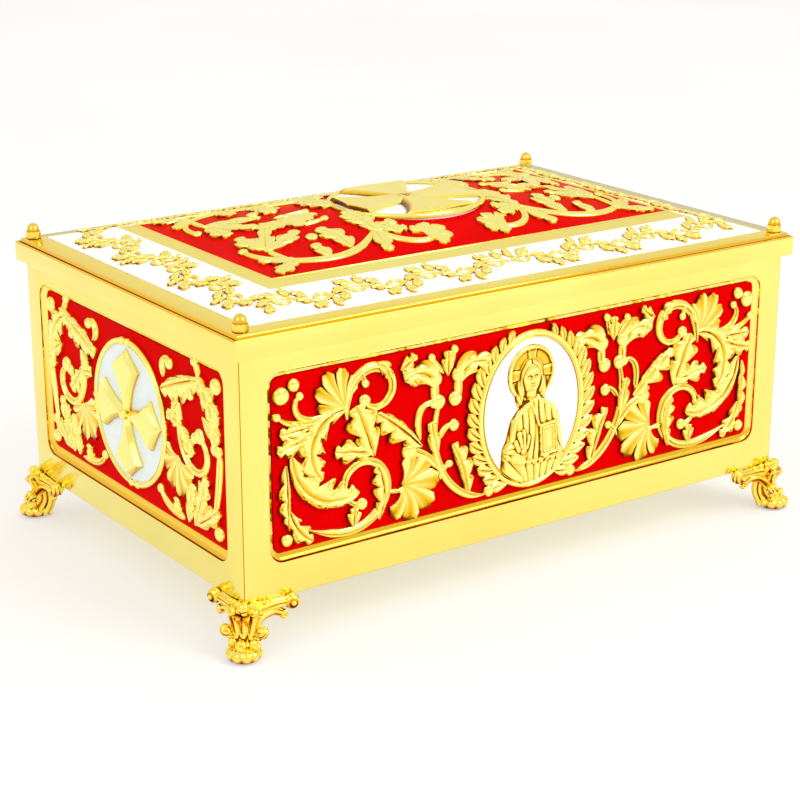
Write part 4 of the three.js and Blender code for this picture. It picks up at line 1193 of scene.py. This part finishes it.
# %% [markdown]
# ## Feet
# A foot is cast: a fluted leg stands on a broad rolled pad under the corner, two wings reach along
# the walls and end in scrolls, small scrolls gather over the pad, and a leaf laps over the corner.
# Each is a sweep: a ring that is carried along a line in space, with flutes cut into it. Sculpting
# would do as well, but sweeps keep the flutes even, and one foot is turned over for every corner.

# %% Sweeps
def sweep(path, radii, thick=1.0, flutes=0, depth=0.0, normal=(0, 0, 1), steps=20, tones=None):
    """Carries an oval ring along a path. `thick` squeezes it along the given normal."""
    path, radii = np.array(path, float), np.array(radii, float)
    forward = np.gradient(path, axis=0)
    forward /= np.linalg.norm(forward, axis=1)[:, None] + 1e-9
    normal = np.broadcast_to(np.array(normal, float), path.shape)
    side = np.cross(forward, normal)
    side /= np.linalg.norm(side, axis=1)[:, None] + 1e-9
    up = np.cross(side, forward)
    angle = np.linspace(0, 2 * np.pi, steps, endpoint=False)
    crest = np.abs(np.cos(flutes * angle / 2)) if flutes else np.full(steps, 0.8)
    reach = radii[:, None, None] * (1 + depth * (crest - 0.6))[None, :, None]
    rings = (
        path[:, None, :]
        + side[:, None, :] * np.cos(angle)[None, :, None] * reach
        + up[:, None, :] * np.sin(angle)[None, :, None] * reach * thick
    )
    # Painted shade in the valleys between the flutes.
    tone = (0.15 + 0.85 * crest)[None, :] * (1.0 if tones is None else np.array(tones)[:, None])
    return loft(rings, tone)


def spline(points, count):
    """A smooth line through a few points."""
    points = np.array(points, float)
    knots = np.linspace(0, 1, len(points))
    t = np.linspace(0, 1, count)
    out = []
    for column in points.T:
        slope = np.gradient(column, knots)
        i = np.clip(np.searchsorted(knots, t, side="right") - 1, 0, len(knots) - 2)
        h = knots[i + 1] - knots[i]
        u = (t - knots[i]) / h
        out.append(
            (2 * u**3 - 3 * u**2 + 1) * column[i]
            + (u**3 - 2 * u**2 + u) * h * slope[i]
            + (3 * u**2 - 2 * u**3) * column[i + 1]
            + (u**3 - u**2) * h * slope[i + 1]
        )
    return np.stack(out, -1)


# %% Balls, scrolls and barrels
def ball(centre, radii):
    bends = np.linspace(-1.48, 1.48, 11)
    rings = []
    for bend in bends:
        across, z = math.cos(bend), centre[2] + radii[2] * math.sin(bend)
        rings.append(oval_ring(radii[0] * across, radii[1] * across, z, 24, centre))
    # Painted shade on the underside of the ball.
    return loft(rings, (0.35 + 0.65 * (bends > -0.9))[:, None])


def scroll(centre, radius, thick, turn, start, along, wire=0.34):
    """A band that winds inwards round a small ball."""
    centre, along, rise = (np.array(v, float) for v in (centre, along, (0, 0, 1)))
    t = np.linspace(0, 1, 34)
    angle = np.radians(start) + 2 * np.pi * turn * t
    reach = radius * (1 - wire) * (1 - 0.68 * t)
    path = centre + reach[:, None] * (np.cos(angle)[:, None] * along + np.sin(angle)[:, None] * rise)
    width = radius * wire * (1 - 0.4 * t)
    band = sweep(path, width, thick / (radius * wire), normal=np.cross(along, rise), steps=14)
    return [band, ball(centre, (radius * 0.30,) * 3)]


def barrel(centre, axis, half_length, radius, ridges=3):
    """The rolled end of a wing: a short drum with ridges round it and a boss at each end."""
    t = np.linspace(-0.98, 0.98, 10 * ridges + 1)
    path = np.array(centre, float) + t[:, None] * half_length * np.array(axis, float)
    crest = np.abs(np.sin(np.pi * ridges * (t + 1) / 2))
    radii = radius * np.sqrt(1 - 0.70 * t**2) * (0.88 + 0.12 * crest)
    upright = (0, 0, 1) if abs(axis[2]) < 0.9 else (1, 0, 0)
    # Painted shade between the ridges.
    drum = sweep(path, radii, normal=upright, steps=26, tones=0.2 + 0.9 * crest)
    size = (radius * 0.34,) * 3
    return [drum, ball(path[0], size), ball(path[-1], size)]


print("a ball has", len(ball((0, 0, 0), (1, 1, 1))[1]), "faces")

# %% One foot, at a corner whose walls lie at x < 0 and y < 0
DIAGONAL = 1 / math.sqrt(2)
OUT = np.array([DIAGONAL, DIAGONAL, 0])
ACROSS = np.array([DIAGONAL, -DIAGONAL, 0])
PAD = OUT * 4.0


def pad():
    """The toe: a fluted bun, broader above than where it touches the table."""
    angle = np.linspace(0, 2 * np.pi, 112, endpoint=False)
    crest = np.abs(np.cos(5 * angle + 0.3))
    rings, tones = [], []
    for reach, z, deep in ((5.8, 0, 0.01), (7.4, 0.5, 0.03), (9.2, 1.8, 0.06), (10.2, 3.6, 0.09),
                           (10.1, 5.2, 0.10), (9.0, 6.7, 0.09), (7.0, 7.8, 0.06), (4.0, 8.4, 0.02)):
        across = reach * (1 + deep * (crest - 0.7))
        rings.append(oval_ring(across, across, z, 112, PAD))
        # Painted shade in the valleys between the flutes.
        tones.append(0.45 + 0.5 * crest * min(1, deep * 14))
    return loft(rings, np.array(tones))


def leg():
    rises = ((0.8, 29.4), (-1.6, 24), (-3.6, 17), (-3.4, 11), (0.5, 5))
    path = spline([OUT * d + [0, 0, z] for d, z in rises], 30)
    radii = np.interp(np.linspace(0, 1, 30), [0, 0.22, 0.52, 0.8, 1], [8.6, 7.2, 5.4, 6.2, 7.4])
    return sweep(path, radii, 1.0, 9, 0.36, normal=ACROSS, steps=72)


def crown():
    """The boss over the corner, and the leaf tongues that hang under it."""
    parts = [ball(OUT * 3.4 + [0, 0, 30.6], (3.4, 3.4, 3.2))]
    for lean, spread, size in ((0, 0, 3.4), (-1, 5.2, 2.6), (1, 5.2, 2.6)):
        side = ACROSS * lean
        path = spline([
            OUT * 0.5 + side * spread * 1.35 + [0, 0, 29.8],
            OUT * 3.4 + side * spread * 1.2 + [0, 0, 27.6],
            OUT * 2.0 + side * spread + [0, 0, 21.5],
            OUT * 2.4 + side * spread * 0.8 + [0, 0, 15.5],
            OUT * 4.4 + side * spread * 0.8 + [0, 0, 13.6],
        ], 26)
        radii = size * np.sin(np.pi * np.linspace(0.14, 0.88, 26)) ** 0.7
        parts.append(sweep(path, radii, 0.75, 3, 0.4, normal=OUT, steps=30))
        parts.append(ball(path[-1], (1.5, 1.5, 1.3)))
    return parts


def ankle():
    """Three scrolls stand on the toe round the ankle."""
    parts = []
    for c, s in (cos_sin(-66), cos_sin(0), cos_sin(66)):
        out = OUT * c + ACROSS * s
        along = np.cross(out, (0, 0, 1))
        parts += scroll(OUT * 1.2 + out * 6.9 + [0, 0, 10.0], 4.7, 2.8, 1.3, 200, along, wire=0.42)
    return parts


def wing():
    """One wing, under the wall that faces +y: two fluted bands, a barrel and a lower curl."""
    upper = spline([(2.0, 2.4, 27.0), (-4, 1.2, 26.6), (-12, 0.4, 26.8), (-20, 0.4, 27.0),
                    (-27, 1.0, 26.8)], 34)
    lower = spline([(-22.5, 1.4, 21.6), (-16.5, 1.2, 24.2), (-9, 1.6, 22.6), (-3.6, 3.0, 17.6),
                    (-3.0, 5.4, 13.2), (-4.6, 8.6, 13.6)], 40)
    parts = [
        sweep(upper, np.interp(np.linspace(0, 1, 34), [0, 0.5, 1], [4.2, 3.3, 2.4]), 0.9, 6, 0.42,
              normal=(0, 1, 0), steps=42),
        sweep(lower, np.interp(np.linspace(0, 1, 40), [0, 0.25, 0.6, 1], [2.0, 3.2, 3.2, 1.9]), 0.9, 4, 0.42,
              normal=(0, 1, 0), steps=32),
    ]
    parts += barrel((-29.2, 1.9, 27.0), (0.25, 0.97, 0), 3.9, 4.7)
    parts += scroll((-24.2, 1.6, 20.2), 3.3, 2.4, 1.3, 80, (-1, 0, 0))
    parts += barrel((-5.6, 9.2, 16.4), (0.75, 0.2, 0.63), 3.1, 3.7)
    buds = (((-3.6, 2.4, 30.2), (2.6, 2.2, 2.4)), ((-8.6, 1.8, 30.0), (2.2, 1.7, 1.9)),
            ((-13.6, 1.6, 29.9), (2.6, 1.4, 1.3)))
    return parts + [ball(*bud) for bud in buds]


def foot_part():
    wings = wing()
    wings += placed(wings, lambda points: points[:, [1, 0, 2]])
    return [pad(), leg()] + crown() + ankle() + wings


def clear_of_box(points):
    """Takes a foot to the casket's corner and keeps its points out of the walls and the floor."""
    x, y, z = points.T
    inside = (x < GAP) & (y < GAP) & (z > BOX_BOTTOM - GAP)
    return np.stack([HALF_X + x, HALF_Y + y, np.maximum(np.where(inside, BOX_BOTTOM - GAP, z), 0)], -1)


foot = placed(foot_part(), clear_of_box)
for name, signs in CORNERS.items():
    cast = placed(foot, lambda points: points * [*signs, 1])
    # Faces turned upwards get painted light, the others painted shade.
    piece(f"acanthus_foot_{name}", cast, "cast_gold", replaces=[f"foot_{name}"], crease=50,
          painted_light_direction=(0.08, -0.08, 0.7))

# %% [markdown]
# ## Floor, light and sky
# Polished gold shows what stands around it, so the studio matters as much as the metal. The floor
# and the upper sky are white and give pale gold. A warmer band low in the sky deepens the yellow of
# faces that look outwards. A picture could be wrapped round the scene, but a few colour stops are
# enough. The camera sees plain white past the floor, and two large lamps add soft highlights.

# %% Floor
WHITE = (1.0, 1.0, 1.0)


def add_floor():
    bpy.ops.mesh.primitive_plane_add(size=12, location=(0, 0, 0))
    floor = bpy.context.object
    floor.name = "studio_floor"
    g = new_finish("studio_floor")
    shade = g.mix(g.smooth(g.noise(2.0, 2.0), 0.3, 0.7), (0.50, 0.50, 0.50), (0.52, 0.52, 0.52))
    glow = dict(Emission_Color=WHITE, Emission_Strength=0.49)
    floor.data.materials.append(g.finish(Base_Color=shade, Roughness=0.9, Specular_IOR_Level=0.0, **glow))


# %% Sky and lamps
def add_sky():
    """A sky whose colour changes with height, and a plain white backdrop where it is seen directly."""
    world = bpy.data.worlds.new("studio")
    bpy.context.scene.world = world
    g = Graph(world, "Background")
    stops = [
        (0.503, WHITE),
        (0.545, (1.0, 0.90, 0.64)),
        (0.600, (1.0, 0.90, 0.62)),
        (0.700, (1.0, 0.93, 0.72)),
        (0.800, (1.0, 0.99, 0.96)),
        (1.0, WHITE),
    ]
    upwards = g.node("ShaderNodeSeparateXYZ", inputs={0: g.node("ShaderNodeTexCoord")}, output=2)
    sky = g.node("ShaderNodeValToRGB", {"stops": stops}, {0: upwards * 0.5 + 0.5})
    g.finish(Color=sky, Strength=0.92)
    seen = g.node("ShaderNodeLightPath")
    backdrop = g.node("ShaderNodeBackground", inputs={"Color": WHITE})
    either = g.node("ShaderNodeMixShader", inputs={0: seen, 1: Value(g, g.shader.outputs[0]), 2: backdrop})
    g.feed(g.tree.nodes["World Output"].inputs["Surface"], either)


def add_lamp(name, place, aim, size, power):
    lamp = bpy.data.objects.new(name, bpy.data.lights.new(name, "AREA"))
    lamp.data.energy, lamp.data.size = power, size
    lamp.location = place
    lamp.rotation_euler = (Vector(place) - Vector(aim)).to_track_quat("Z", "Y").to_euler()
    bpy.context.scene.collection.objects.link(lamp)


add_floor()
add_sky()
add_lamp("key", (0.9, -1.9, 1.7), (0.2, -0.5, 0), 1.5, 24)
add_lamp("fill", (-1.9, -0.6, 1.6), (-0.2, 0, 0.1), 1.4, 7)
bpy.context.scene.view_settings.view_transform = "Standard"
print("lamps:", [lamp.name for lamp in bpy.data.lights])

# %% [markdown]
# ## The end
# The fine surfaces have to stay within the imported solids. The last cell brings the scene up to date.

# %% The end
bpy.context.view_layer.update()
